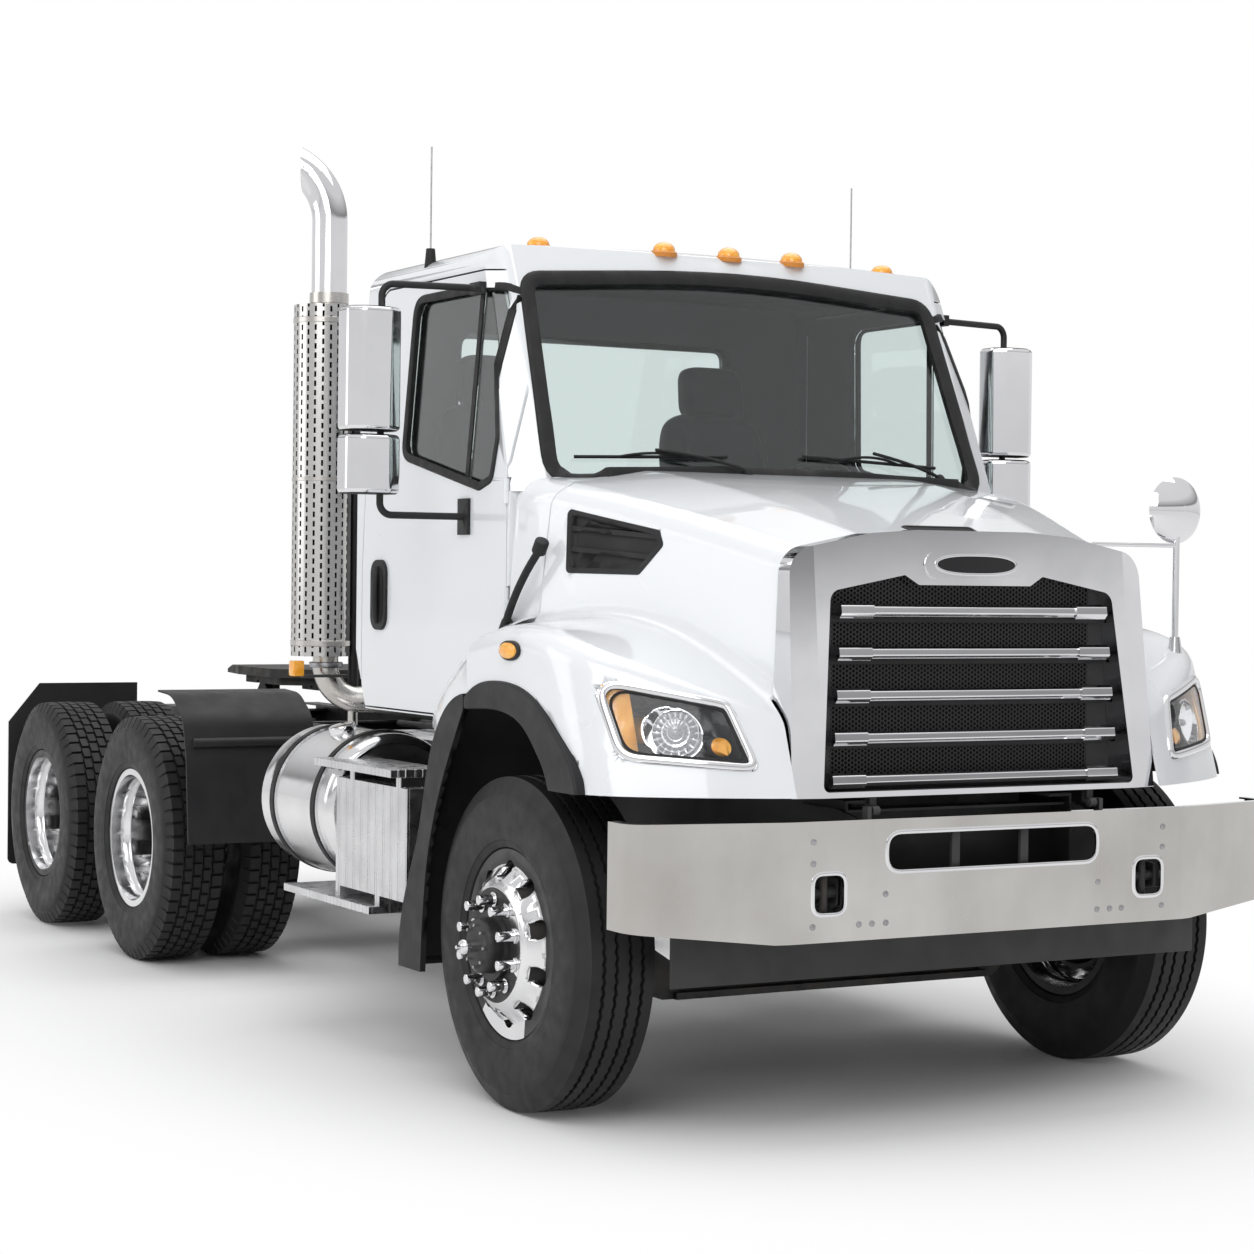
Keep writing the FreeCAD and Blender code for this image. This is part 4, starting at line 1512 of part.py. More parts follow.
seat_size = (SEAT_LENGTH, SEAT_H)
seats = []
for y in (-SEAT_Y, SEAT_Y):
    shapes = [prism_y(placed(shares, (SEAT_X, SEAT_LOW), seat_size), y - half, y + half, CUSHION_R) for shares, half in (
        (CUSHION_SHARES, SEAT_HALF_W), (BACK_SHARES, SEAT_HALF_W - CUSHION_R), (HEADREST_SHARES, HEADREST_HALF_W))]
    shapes.append(box(SEAT_X - SEAT_LENGTH / 2 + PEDESTAL_INSET, SEAT_X + SEAT_LENGTH / 2 - PEDESTAL_INSET, y - PEDESTAL_HALF_W,
                      y + PEDESTAL_HALF_W, CAB_FLOOR_Z + CAB_WALL + SEAT_GAP, SEAT_LOW + CUSHION_R))
    seats.append(fused(shapes))
export("seats", seats)

# Dashboard, steering column and steering wheel
DASH_HALF_W = 860.0
COLUMN_R = 35.0
COLUMN_LENGTH = 320.0
WHEEL_X = -960.0
WHEEL_Y = 480.0
WHEEL_Z = 1960.0
WHEEL_R = 215.0
WHEEL_RIM_R = 14.0
WHEEL_HUB_R = 60.0
WHEEL_HUB_DROP = 60.0
WHEEL_HUB_H = 50.0
SPOKE_R = 13.0
SPOKE_DROP = 20.0
DASH_SHARES = [(-0.03, 0.485), (-0.03, 0.942), (0.159, 0.947), (0.305, 0.906), (0.334, 0.813), (0.261, 0.485)]

wheel_centre = V(WHEEL_X, WHEEL_Y, WHEEL_Z)
wheel_axis = V(-1, 0, 1.1).normalize()
dashboard = cab_volume(CAB_WALL + SEAT_GAP).common(prism_y(cab_side(DASH_SHARES), -DASH_HALF_W, DASH_HALF_W))
column_top = wheel_centre - wheel_axis * WHEEL_HUB_DROP
column = Part.makeCylinder(COLUMN_R, COLUMN_LENGTH, column_top - wheel_axis * COLUMN_LENGTH, wheel_axis)
export("dashboard", fused([dashboard, column]))
hub = Part.makeCylinder(WHEEL_HUB_R, WHEEL_HUB_H, wheel_centre - wheel_axis * (WHEEL_HUB_DROP - SEAT_GAP), wheel_axis)
across = V(0, 1, 0)
spokes = [Part.makeCylinder(SPOKE_R, WHEEL_R, wheel_centre - wheel_axis * SPOKE_DROP, direction)
          for direction in (across, across * -1, wheel_axis.cross(across) * -1)]
export("steering_wheel", fused([Part.makeTorus(WHEEL_R, WHEEL_RIM_R, wheel_centre, wheel_axis), hub] + spokes))

# Marker lamps and antennas on the roof
LAMP_R = 40.0
LAMP_SINK = 12.0
LAMP_MIDDLE_X = -705.0
LAMP_MIDDLE_Y = 266.0
LAMP_SIDE_X = -790.0
LAMP_SIDE_Y = 720.0
ANTENNA_X = -1273.0
ANTENNA_Y = 905.0
ANTENNA_BASE_R = 30.0
ANTENNA_NECK_R = 16.0
ANTENNA_DROP = 135.0
ANTENNA_BASE_H = 150.0
WHIP_R = 3.0
WHIP_H = 380.0

lamp_places = [(LAMP_MIDDLE_X, 0)] + [(LAMP_MIDDLE_X, s * LAMP_MIDDLE_Y) for s in SIDES.values()]
lamp_places += [(LAMP_SIDE_X, s * LAMP_SIDE_Y) for s in SIDES.values()]
roof_lamps = []
for x, y in lamp_places:
    z = ROOF_Z - LAMP_SINK - abs(y) * ROOF_DROP / CAB_HALF
    roof_lamps.append(max(ball((x, y, z), LAMP_R).cut(cab_outer).Solids, key=lambda s: s.BoundBox.ZMax))
export("roof_lamps", roof_lamps)
antennas = []
for s in SIDES.values():
    foot = ROOF_Z - ANTENNA_DROP
    antenna = fused([
        cone((ANTENNA_X, s * ANTENNA_Y, foot), (ANTENNA_X, s * ANTENNA_Y, foot + ANTENNA_BASE_H), ANTENNA_BASE_R, ANTENNA_NECK_R),
        rod((ANTENNA_X, s * ANTENNA_Y, foot), (ANTENNA_X, s * ANTENNA_Y, ROOF_Z + WHIP_H), WHIP_R)])
    antennas.append(max(antenna.cut(cab_outer).Solids, key=lambda s: s.BoundBox.ZMax))
export("antennas", antennas)
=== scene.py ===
import json
import math

import bmesh
import bpy
from mathutils import Matrix, Vector
from mathutils.bvhtree import BVHTree


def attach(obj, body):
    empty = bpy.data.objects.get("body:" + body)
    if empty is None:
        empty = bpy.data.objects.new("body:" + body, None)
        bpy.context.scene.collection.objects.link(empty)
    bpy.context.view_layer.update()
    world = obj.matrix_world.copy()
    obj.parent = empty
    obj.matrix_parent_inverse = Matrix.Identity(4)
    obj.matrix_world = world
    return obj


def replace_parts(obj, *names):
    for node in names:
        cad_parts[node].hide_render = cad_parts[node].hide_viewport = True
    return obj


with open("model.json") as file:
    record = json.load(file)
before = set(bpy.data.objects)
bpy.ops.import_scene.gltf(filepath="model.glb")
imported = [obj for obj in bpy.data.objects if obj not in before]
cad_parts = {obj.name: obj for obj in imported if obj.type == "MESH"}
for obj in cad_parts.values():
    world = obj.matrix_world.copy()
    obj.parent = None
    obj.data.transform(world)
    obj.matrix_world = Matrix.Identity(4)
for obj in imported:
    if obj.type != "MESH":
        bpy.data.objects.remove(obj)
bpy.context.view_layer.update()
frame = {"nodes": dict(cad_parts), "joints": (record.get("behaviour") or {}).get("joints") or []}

bl_info = {
    "name": "Tractor Unit Dress",
    "version": (1, 0, 0),
    "blender": (4, 5, 0),
    "location": "View3D > Sidebar > Tractor",
    "description": "Dresses the packed tractor unit with finished surfaces and small detail",
    "category": "Object",
}

SIDES = (("right", -1), ("left", 1))
FRONT_AXLE_X = next(j for j in frame["joints"] if j["name"] == "left_steering")["pos_m"][0]
WHEEL_Z = 0.527
FRONT_Y = 1.08
DUAL_Y = (1.08, 0.737)
DRIVE_X = (FRONT_AXLE_X - 3.65, FRONT_AXLE_X - 4.95)
TYRE_R = 0.527


# Node materials

class Nodes:
    """Adds nodes to a tree. A node's input takes a plain value or another node's output."""

    def __init__(self, tree):
        self.tree = tree

    def feed(self, node, values):
        for key, value in values.items():
            if hasattr(value, "is_linked"):
                self.tree.links.new(value, node.inputs[key])
            else:
                node.inputs[key].default_value = value

    def add(self, kind, values=None, **settings):
        node = self.tree.nodes.new(kind)
        for key, value in settings.items():
            setattr(node, key, value)
        self.feed(node, values or {})
        return node

    def maths(self, operation, first, second=0.0, third=0.0):
        return self.add("ShaderNodeMath", {0: first, 1: second, 2: third}, operation=operation).outputs[0]


class Finish(Nodes):
    """A node material with one Principled shader. Each method adds one kind of detail to it."""

    def __init__(self, name, colour, roughness=0.5, metallic=0.0):
        self.material = bpy.data.materials.new(name)
        self.material.use_nodes = True
        super().__init__(self.material.node_tree)
        self.shader = self.tree.nodes["Principled BSDF"]
        self.colour = colour
        self.set({"Base Color": (*colour, 1.0), "Roughness": roughness, "Metallic": metallic})
        self.coords = self.add("ShaderNodeTexCoord").outputs["Object"]
        self.bump_end = None

    def set(self, values):
        self.feed(self.shader, values)
        return self

    def mapped(self, **values):
        """The object's coordinates, moved, turned or stretched."""
        values = {key.capitalize(): value for key, value in values.items()}
        return self.add("ShaderNodeMapping", {"Vector": self.coords, **values}).outputs["Vector"]

    def split(self, vector):
        return self.add("ShaderNodeSeparateXYZ", {0: vector}).outputs

    def noise(self, scale, detail=4.0, stretch=None):
        source = self.mapped(scale=stretch) if stretch else self.coords
        return self.add("ShaderNodeTexNoise", {"Vector": source, "Scale": scale, "Detail": detail}).outputs["Fac"]

    def remap(self, value, low, high, start=0.3, end=0.7):
        limits = {"From Min": start, "From Max": end, "To Min": low, "To Max": high}
        return self.add("ShaderNodeMapRange", {"Value": value, **limits}).outputs["Result"]

    def mix(self, factor, first, second):
        first, second = (c if hasattr(c, "is_linked") else (*c, 1.0) for c in (first, second))
        return self.add("ShaderNodeMix", {0: factor, 6: first, 7: second}, data_type="RGBA").outputs[2]

    def from_middle(self, value):
        """Distance from the middle of the cell that a running number is in."""
        return self.maths("ABSOLUTE", self.maths("SUBTRACT", self.maths("FRACT", value), 0.5))

    def vary(self, other, scale, amount=1.0, detail=4.0):
        """Blends patches of another colour into the base colour."""
        factor = self.remap(self.noise(scale, detail), 0.0, amount)
        return self.set({"Base Color": self.mix(factor, self.colour, other)})

    def uneven(self, low, high, scale, stretch=None):
        """Roughness that wanders between two values."""
        return self.set({"Roughness": self.remap(self.noise(scale, 5.0, stretch), low, high)})

    def raise_by(self, height, distance, strength=1.0):
        """Adds a bump layer on top of those before it."""
        bump = self.add("ShaderNodeBump", {"Height": height, "Strength": strength, "Distance": distance})
        if self.bump_end:
            self.feed(bump, {"Normal": self.bump_end})
        self.bump_end = bump.outputs["Normal"]
        return self.set({"Normal": self.bump_end})

    def grain(self, scale, distance, strength=1.0, stretch=None):
        return self.raise_by(self.noise(scale, 3.0, stretch), distance, strength)

    def edge_wear(self, colour, amount=0.6):
        """Lighter or darker metal along edges, from the surface's pointiness."""
        point = self.add("ShaderNodeNewGeometry").outputs["Pointiness"]
        edge = self.remap(point, 0.0, amount, 0.52, 0.6)
        base = self.shader.inputs["Base Color"]
        under = base.links[0].from_socket if base.is_linked else self.colour
        return self.set({"Base Color": self.mix(edge, under, colour)})


# Colour, roughness, metallic, then what uneven, vary and grain are given.
STEEL = (0.60, 0.59, 0.575)
BLACK = (0.012, 0.012, 0.013)
FINISHES = {
    "chrome": ((0.78, 0.78, 0.79), 0.06, 1.0, (0.035, 0.10, 6.0), ((0.70, 0.70, 0.715), 3.0), (5.0, 0.0006, 0.12)),
    "aluminium": ((0.80, 0.80, 0.805), 0.16, 1.0, (0.10, 0.22, 14.0), ((0.70, 0.70, 0.71), 5.0),
                  (260.0, 0.0002, 0.10)),
    "stainless": (STEEL, 0.26, 1.0, (0.18, 0.34, 30.0, (1.0, 1.0, 0.05)), ((0.50, 0.475, 0.44), 3.0),
                  (160.0, 0.0003, 0.12, (1.0, 1.0, 0.03))),
    "bumper": ((0.60, 0.59, 0.57), 0.2, 1.0, (0.14, 0.30, 3.0, (1.0, 3.0, 0.6)), ((0.47, 0.455, 0.43), 2.2),
               (60.0, 0.0004, 0.12, (1.0, 1.0, 0.05))),
    "satin": ((0.42, 0.42, 0.43), 0.35, 1.0, (0.28, 0.45, 25.0), ((0.30, 0.30, 0.31), 30.0), (300.0, 0.0003, 0.2)),
    "frame_black": (BLACK, 0.42, 0.0, (0.32, 0.6, 11.0), ((0.03, 0.029, 0.027), 7.0, 0.6), (220.0, 0.0008, 0.25)),
    "cast_black": ((0.025, 0.025, 0.027), 0.55, 0.0, (0.4, 0.7, 16.0), ((0.07, 0.062, 0.052), 9.0, 0.7),
                   (140.0, 0.002, 0.4)),
    "plastic": ((0.014, 0.014, 0.0155), 0.5, 0.0, (0.42, 0.6, 12.0), ((0.022, 0.022, 0.023), 4.0),
                (1100.0, 0.0006, 0.35)),
    "rubber": (BLACK, 0.55, 0.0, (0.45, 0.7, 20.0), ((0.02, 0.02, 0.02), 12.0), (500.0, 0.0005, 0.3)),
    "tread": (BLACK, 0.9, 0.0, (0.42, 0.62, 18.0), ((0.024, 0.023, 0.022), 6.0, 0.55), (350.0, 0.0008, 0.35)),
    "trim": ((0.085, 0.09, 0.095), 0.6, 0.0, (0.5, 0.7, 10.0), ((0.11, 0.115, 0.12), 5.0), (800.0, 0.0006, 0.4)),
    "cloth": ((0.035, 0.037, 0.042), 0.85, 0.0, None, ((0.055, 0.058, 0.065), 18.0), None),
    "amber": ((0.95, 0.36, 0.02), 0.12, 0.0, None, ((1.0, 0.50, 0.06), 40.0), (120.0, 0.001, 0.25)),
    "red": ((0.5, 0.01, 0.01), 0.12, 0.0, None, ((0.65, 0.03, 0.02), 40.0), (120.0, 0.001, 0.25)),
    "lamp_base": ((0.70, 0.26, 0.03), 0.35, 0.0, None, ((0.60, 0.22, 0.03), 30.0), None),
    "lamp_grey": ((0.075, 0.078, 0.082), 0.3, 0.0, (0.24, 0.4, 30.0), ((0.10, 0.10, 0.105), 20.0), None),
    # dark: near-black painted shade, for the scoop's mouth and the door handles' pockets.
    "dark": ((0.004, 0.004, 0.004), 0.9, 0.0, None, ((0.008, 0.008, 0.008), 8.0), None),
    "glass": ((0.79, 0.85, 0.84), 0.0, 0.0, None, None, (2.0, 0.0005, 0.02)),
    "lens": ((0.96, 0.97, 0.98), 0.02, 0.0, None, None, (30.0, 0.0004, 0.05)),
    "reflector": ((0.86, 0.86, 0.87), 0.05, 1.0, (0.03, 0.1, 60.0), None, None),
    "mirror_glass": ((0.85, 0.87, 0.88), 0.02, 1.0, (0.01, 0.04, 4.0), None, None)}
SOCKETS = {
    "paint": {"Coat Weight": 1.0, "Coat Roughness": 0.04},
    "cloth": {"Sheen Weight": 0.3},
    "amber": {"Coat Weight": 0.6, "Subsurface Weight": 0.25, "Subsurface Radius": (0.02, 0.008, 0.002)},
    "glass": {"Transmission Weight": 1.0, "IOR": 1.45},
    "lens": {"Transmission Weight": 1.0, "IOR": 1.3}}
DULL = {"Specular IOR Level": 0.3}


def make_finishes():
    """Every finish of the vehicle, by name."""
    paint = tuple(bpy.context.scene.tractor_finish.paint)
    table = dict(FINISHES, paint=(paint, 0.28, 0.0, (0.27, 0.30, 2.0), (tuple(c * 0.985 for c in paint), 0.8, 1.0, 1.0),
                                  (900.0, 0.0001, 0.05)))
    f = {"holes": perforated_finish(*STACK_AT), "mesh": grille_mesh_finish(), "plate": tread_plate_finish()}
    for key, (colour, roughness, metallic, uneven, vary, grain) in table.items():
        finish = f[key] = Finish(key, colour, roughness, metallic).set(SOCKETS.get(key, {}))
        if uneven:
            finish.uneven(*uneven)
        if vary:
            finish.vary(*vary)
        if grain:
            finish.grain(*grain)
    f["frame_black"].edge_wear((0.10, 0.10, 0.10), 0.5)
    cloth = f["cloth"]
    weave = cloth.add("ShaderNodeTexWave", {"Vector": cloth.coords, "Scale": 260.0, "Distortion": 1.5},
                      bands_direction="DIAGONAL")
    cloth.raise_by(weave.outputs["Fac"], 0.0015, 0.5)
    for name in ("frame_black", "cast_black", "plastic", "rubber", "trim", "tread", "mesh"):
        f[name].set(DULL)
    return f


def tread_plate_finish():
    """Bright aluminium plate with raised lozenges, laid two ways across each other."""
    f = Finish("tread_plate", (0.72, 0.72, 0.73), 0.28, 1.0)
    heights = []
    for turn, phase in ((math.pi / 4, 0.0), (-math.pi / 4, 0.5)):
        cast = f.split(f.mapped(rotation=(0.0, 0.0, turn)))
        across, along = (f.from_middle(f.maths("MULTIPLY_ADD", cast[i], 22.0, phase)) for i in (0, 1))
        spot = f.maths("ADD", f.maths("MULTIPLY", across, 5.0), f.maths("MULTIPLY", along, 1.6))
        heights.append(f.remap(spot, 1.0, 0.0, 0.3, 0.75))
    return f.raise_by(f.maths("MAXIMUM", *heights), 0.002, 0.9).uneven(0.22, 0.4, 20.0).vary((0.60, 0.60, 0.61), 8.0)


def perforated_finish(x, y):
    """Brushed stainless with staggered rows of short slots round an upright axis. Painted shade fills the slots."""
    f = Finish("perforated_stainless", STEEL, 0.26, 1.0)
    cast = f.split(f.mapped(location=(-x - FRONT_AXLE_X, -y, 0.0)))
    column = f.maths("MULTIPLY", f.maths("ARCTAN2", cast[1], cast[0]), 24 / (2 * math.pi))
    stagger = f.maths("MULTIPLY", f.maths("FLOOR", column), 0.5)
    row = f.maths("ADD", f.maths("MULTIPLY", cast[2], 1 / 0.036), stagger)
    aside, above = f.from_middle(column), f.from_middle(row)
    shaded_hole = f.maths("MULTIPLY", f.maths("LESS_THAN", aside, 0.14), f.maths("LESS_THAN", above, 0.3))
    # The slots' near-black colour is painted shade of the openings.
    f.set({"Base Color": f.mix(shaded_hole, STEEL, (0.006, 0.006, 0.006)), "Roughness": f.remap(shaded_hole, 0.22, 0.9, 0.0, 1.0)})
    return f.raise_by(f.maths("MULTIPLY", shaded_hole, -1.0), 0.002, 0.8).grain(160.0, 0.0003, 0.12, (1.0, 1.0, 0.03))


def grille_mesh_finish():
    """Black six-sided mesh with open cells, plain towards the two ends of the grille. Painted shade fills the cells."""
    f = Finish("grille_mesh", (0.03, 0.03, 0.032), 0.45)
    cast = f.split(f.coords)
    gaps = []
    for offset in (0.0, 0.5):
        u, v = (f.from_middle(f.maths("MULTIPLY_ADD", cast[i], 1 / cell, offset))
                for i, cell in ((1, 0.024), (2, 0.0139)))
        gaps.append(f.maths("ADD", u, f.maths("MULTIPLY", v, 0.58)))
    near = f.maths("MINIMUM", *gaps)
    middle = f.maths("LESS_THAN", f.maths("ABSOLUTE", cast[1]), 0.49)
    shaded_hole = f.maths("MULTIPLY", f.maths("LESS_THAN", near, 0.27), middle)
    # The cells' near-black colour is painted shade of the space behind the mesh.
    f.set({"Base Color": f.mix(shaded_hole, (0.045, 0.045, 0.047), (0.001, 0.001, 0.001)),
           "Roughness": f.remap(shaded_hole, 0.4, 1.0, 0.0, 1.0)})
    return f.raise_by(f.maths("MULTIPLY", shaded_hole, -1.0), 0.004, 0.9)


FINISH = {}


# Mesh helpers

def edit(obj, *steps, select="SELECT"):
    """Runs mesh tools on an object. Each step is a tool and its settings."""
    only(obj)
    bpy.ops.object.mode_set(mode="EDIT")
    if select:
        bpy.ops.mesh.select_all(action=select)
    for tool, settings in steps:
        tool(**settings)
    bpy.ops.object.mode_set(mode="OBJECT")


def only(obj):
    """Leaves one object selected and active."""
    bpy.ops.object.select_all(action="DESELECT")
    obj.select_set(True)
    bpy.context.view_layer.objects.active = obj


def settle(obj):
    """Puts the object's place, turn and size into its mesh."""
    only(obj)
    bpy.ops.object.transform_apply(location=True, rotation=True, scale=True)


def smooth(obj, angle=35.0):
    only(obj)
    bpy.ops.object.shade_smooth_by_angle(angle=math.radians(angle))


def tidy_mesh(obj, merge=0.00005):
    """Merges doubles and turns every face outwards."""
    edit(obj, (bpy.ops.mesh.remove_doubles, {"threshold": merge}),
         (bpy.ops.mesh.normals_make_consistent, {"inside": False}))


def flatten(obj, angle):
    """Merges faces that lie in one plane."""
    edit(obj, (bpy.ops.mesh.dissolve_limited, {"angle_limit": math.radians(angle)}))


def apply_modifiers(obj):
    only(obj)
    for modifier in list(obj.modifiers):
        bpy.ops.object.modifier_apply(modifier=modifier.name)


def bevel(obj, width, segments=2, angle=30.0):
    modifier = obj.modifiers.new("edge", "BEVEL")
    modifier.width = width
    modifier.segments = segments
    modifier.limit_method = "ANGLE"
    modifier.angle_limit = math.radians(angle)
    apply_modifiers(obj)


def place(obj, finish, body="chassis"):
    """Gives a finished piece its material and the body that it rides on."""
    settle(obj)
    obj.data.materials.clear()
    obj.data.materials.append(FINISH[finish].material)
    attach(obj, body)
    return obj


def linked(name, data):
    """A new object in the scene."""
    obj = bpy.data.objects.new(name, data)
    bpy.context.collection.objects.link(obj)
    return obj


def from_mesh(name, vertices, faces):
    mesh = bpy.data.meshes.new(name)
    mesh.from_pydata([tuple(v) for v in vertices], [], faces)
    mesh.update()
    return linked(name, mesh)


def copy_of(obj, name, turn=None):
    """A copy with its own mesh, moved by a matrix if one is given."""
    twin = obj.copy()
    twin.data = obj.data.copy()
    twin.name = name
    twin.data.name = name
    bpy.context.collection.objects.link(twin)
    if turn is not None:
        twin.data.transform(turn)
        if turn.determinant() < 0:
            twin.data.flip_normals()
    return twin


def join(objs, name):
    only(objs[0])
    for obj in objs:
        obj.select_set(True)
    bpy.ops.object.join()
    joined = bpy.context.view_layer.objects.active
    joined.name = name
    joined.data.name = name
    return joined


def loose(node, name):
    """A CAD node's own form, off its body and merged."""
    source = frame["nodes"][node]
    piece = copy_of(source, name)
    piece.parent = None
    piece.matrix_world = source.matrix_world.copy()
    settle(piece)
    tidy_mesh(piece, 0.00002)
    return piece


def dressed(node, finish, body="chassis", angle=35.0, edge=0.0, name=None, flat=0.4):
    """A CAD node eased at its edges and shaded smooth, in its finish."""
    piece = loose(node, name or node + "_finished")
    if flat:
        flatten(piece, flat)
    if edge:
        bevel(piece, edge)
    smooth(piece, angle)
    weigh(piece)
    place(piece, finish, body)
    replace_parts(piece, node)
    return piece


def cylinder(name, radius, depth, at, axis=(0, 0, 1), vertices=32, edge=0.0):
    """A round bar centred at a point, with its rims eased."""
    turn = Vector((0, 0, 1)).rotation_difference(Vector(axis)).to_euler()
    bpy.ops.object.select_all(action="DESELECT")
    bpy.ops.mesh.primitive_cylinder_add(radius=radius, depth=depth, location=at, rotation=turn, vertices=vertices)
    obj = bpy.context.active_object
    obj.name = name
    settle(obj)
    if edge:
        bevel(obj, edge, 2, 50.0)
    smooth(obj)
    return obj


def block(name, low, high, edge=0.0):
    """A block between two corners with eased edges."""
    middle = [(a + b) / 2 for a, b in zip(low, high)]
    bpy.ops.object.select_all(action="DESELECT")
    bpy.ops.mesh.primitive_cube_add(size=1.0, location=middle)
    obj = bpy.context.active_object
    obj.name = name
    obj.scale = [abs(b - a) for a, b in zip(low, high)]
    settle(obj)
    if edge:
        bevel(obj, edge, 2, 50.0)
    smooth(obj)
    return obj


def lathe(name, profile, steps=96, axis="Y"):
    """A closed ring or cap turned from a profile of (along, radius) pairs about an axis through the origin."""
    rows = []
    for i in range(steps):
        a = 2 * math.pi * i / steps
        rows.append([(r * math.cos(a), along, r * math.sin(a)) for along, r in profile])
    count = len(profile)
    faces = []
    for i in range(steps):
        j = (i + 1) % steps
        for k in range(count - 1):
            faces.append((i * count + k, i * count + k + 1, j * count + k + 1, j * count + k))
    obj = from_mesh(name, [v for row in rows for v in row], faces)
    tidy_mesh(obj)
    if axis == "X":
        obj.data.transform(Matrix.Rotation(-math.pi / 2, 4, "Z"))
    if axis == "Z":
        obj.data.transform(Matrix.Rotation(math.pi / 2, 4, "X"))
    return obj


def at(x, y, z):
    """A point given from the ground under the middle of the front axle."""
    return Vector((x + FRONT_AXLE_X, y, z))


def turned(name, profile, steps, spot, finish, body="chassis", axis="Y"):
    """A lathe piece in its spot, with its finish."""
    piece = lathe(name, profile, steps, axis)
    piece.data.transform(spot)
    tidy_mesh(piece)
    smooth(piece)
    return place(piece, finish, body)


def facing(point, normal):
    """Matrix that puts a piece at a point with its Y axis along a normal."""
    return Matrix.Translation(point) @ Vector((0, 1, 0)).rotation_difference(normal).to_matrix().to_4x4()


def skin_of(*nodes):
    """The faces of CAD nodes as a tree that rays can be cast on."""
    vertices, faces = [], []
    for node in nodes:
        mesh = frame["nodes"][node].data
        start = len(vertices)
        vertices += [v.co.copy() for v in mesh.vertices]
        faces += [[start + i for i in p.vertices] for p in mesh.polygons]
    return BVHTree.FromPolygons(vertices, faces)


def lay(skin, start, direction):
    """Point and outward normal where a ray meets a skin. A ray that slips through a seam is tried a bit beside it."""
    start, direction = Vector(start), Vector(direction)
    for step in range(12):
        turn = 2.4 * step
        beside = Vector((math.cos(turn), math.sin(turn), math.sin(2.1 * turn))) * 0.0006 * step
        point, normal, _, _ = skin.ray_cast(start + beside, direction)
        if point is not None:
            return point, -normal if normal.dot(direction) > 0 else normal
    raise RuntimeError(f"no surface along the ray from {tuple(start)}")


def lay_all(skin, starts, direction):
    """Points and normals where rays meet a skin, and the points' middle."""
    points, normals = zip(*(lay(skin, start, direction) for start in starts))
    return list(points), list(normals), sum(points, Vector()) / len(points)


def stand(point, normal, wide=1.0, tall=1.0):
    """Matrix that puts a piece on a surface: its Y axis along the normal, its X axis level, stretched two ways."""
    out = Vector(normal).normalized()
    level = out.cross(Vector((0, 0, 1)))
    level = level.normalized() if level.length > 0.05 else Vector((0, 1, 0))
    up = level.cross(out)
    turn = Matrix((level, out, up)).transposed().to_4x4()
    return Matrix.Translation(point) @ turn @ Matrix.Diagonal((wide, 1, tall, 1))


def grow(corners, distance):
    """A 2-D outline moved outwards, or inwards where distance is negative."""
    points = [Vector(c) for c in corners]
    count = len(points)
    area = sum(points[i - 1].cross(points[i]) for i in range(count))
    turn = 1 if area > 0 else -1
    grown = []
    for i in range(count):
        normals = []
        for a, b in ((points[i - 1], points[i]), (points[i], points[(i + 1) % count])):
            run = (b - a).normalized()
            normals.append(Vector((run.y, -run.x)) * turn)
        grown.append(points[i] + (normals[0] + normals[1]) * distance / (1 + normals[0].dot(normals[1])))
    return grown


def inside(corners, p):
    """True if a 2-D point lies in an outline."""
    found = False
    for i in range(len(corners)):
        (xa, ya), (xb, yb) = corners[i - 1], corners[i]
        if (ya > p[1]) != (yb > p[1]) and p[0] < (xb - xa) * (p[1] - ya) / (yb - ya) + xa:
            found = not found
    return found


def rounded(corners, radii, steps=6, spacing=0.05):
    """Closed 2-D path with round corners and evenly set points along its sides."""
    path = []
    count = len(corners)
    for i in range(count):
        a, b, c = (Vector(corners[j % count]) for j in (i - 1, i, i + 1))
        back, ahead = (a - b).normalized(), (c - b).normalized()
        reach = min(radii[i] / math.tan(back.angle(ahead) / 2), 0.48 * min((a - b).length, (c - b).length))
        start, end = b + back * reach, b + ahead * reach
        for k in range(steps + 1):
            t = k / steps
            path.append(start * (1 - t) ** 2 + b * (2 * t * (1 - t)) + end * t ** 2)
    filled = []
    for i, p in enumerate(path):
        q = path[(i + 1) % len(path)]
        more = int((q - p).length / spacing)
        filled.append(p)
        for k in range(1, more + 1):
            filled.append(p.lerp(q, k / (more + 1)))
    return filled


def band(name, points, normals, profile, middle=None):
    """A strip swept along points on a surface. profile is a closed list of (across, out) pairs, with across measured
    away from the middle of a closed loop. Without a middle the strip is open and its ends are capped."""
    count = len(points)
    rows = []
    for i in range(count):
        before = points[i - 1] if middle or i else points[i]
        after = points[(i + 1) % count] if middle or i < count - 1 else points[i]
        across = (after - before).normalized().cross(normals[i]).normalized()
        if middle is not None and across.dot(points[i] - middle) < 0:
            across = -across
        rows.append([points[i] + across * a + normals[i] * o for a, o in profile])
    k = len(profile)
    faces = []
    for i in range(count if middle is not None else count - 1):
        j = (i + 1) % count
        for m in range(k):
            n = (m + 1) % k
            faces.append((i * k + m, i * k + n, j * k + n, j * k + m))
    if middle is None:
        faces += [tuple(range(k)), tuple((count - 1) * k + m for m in range(k))]
    obj = from_mesh(name, [v for row in rows for v in row], faces)
    tidy_mesh(obj)
    smooth(obj, 50.0)
    return obj


def fan(name, middle, edge, finish, out):
    """A thin plate on the hood, from its middle to its edge, that faces out."""
    count = len(edge)
    plate = from_mesh(name, [middle] + edge, [(0, i + 1, (i + 1) % count + 1) for i in range(count)])
    tidy_mesh(plate)
    if plate.data.polygons[0].normal.dot(out) < 0:
        plate.data.flip_normals()
    place(plate, finish, "hood")


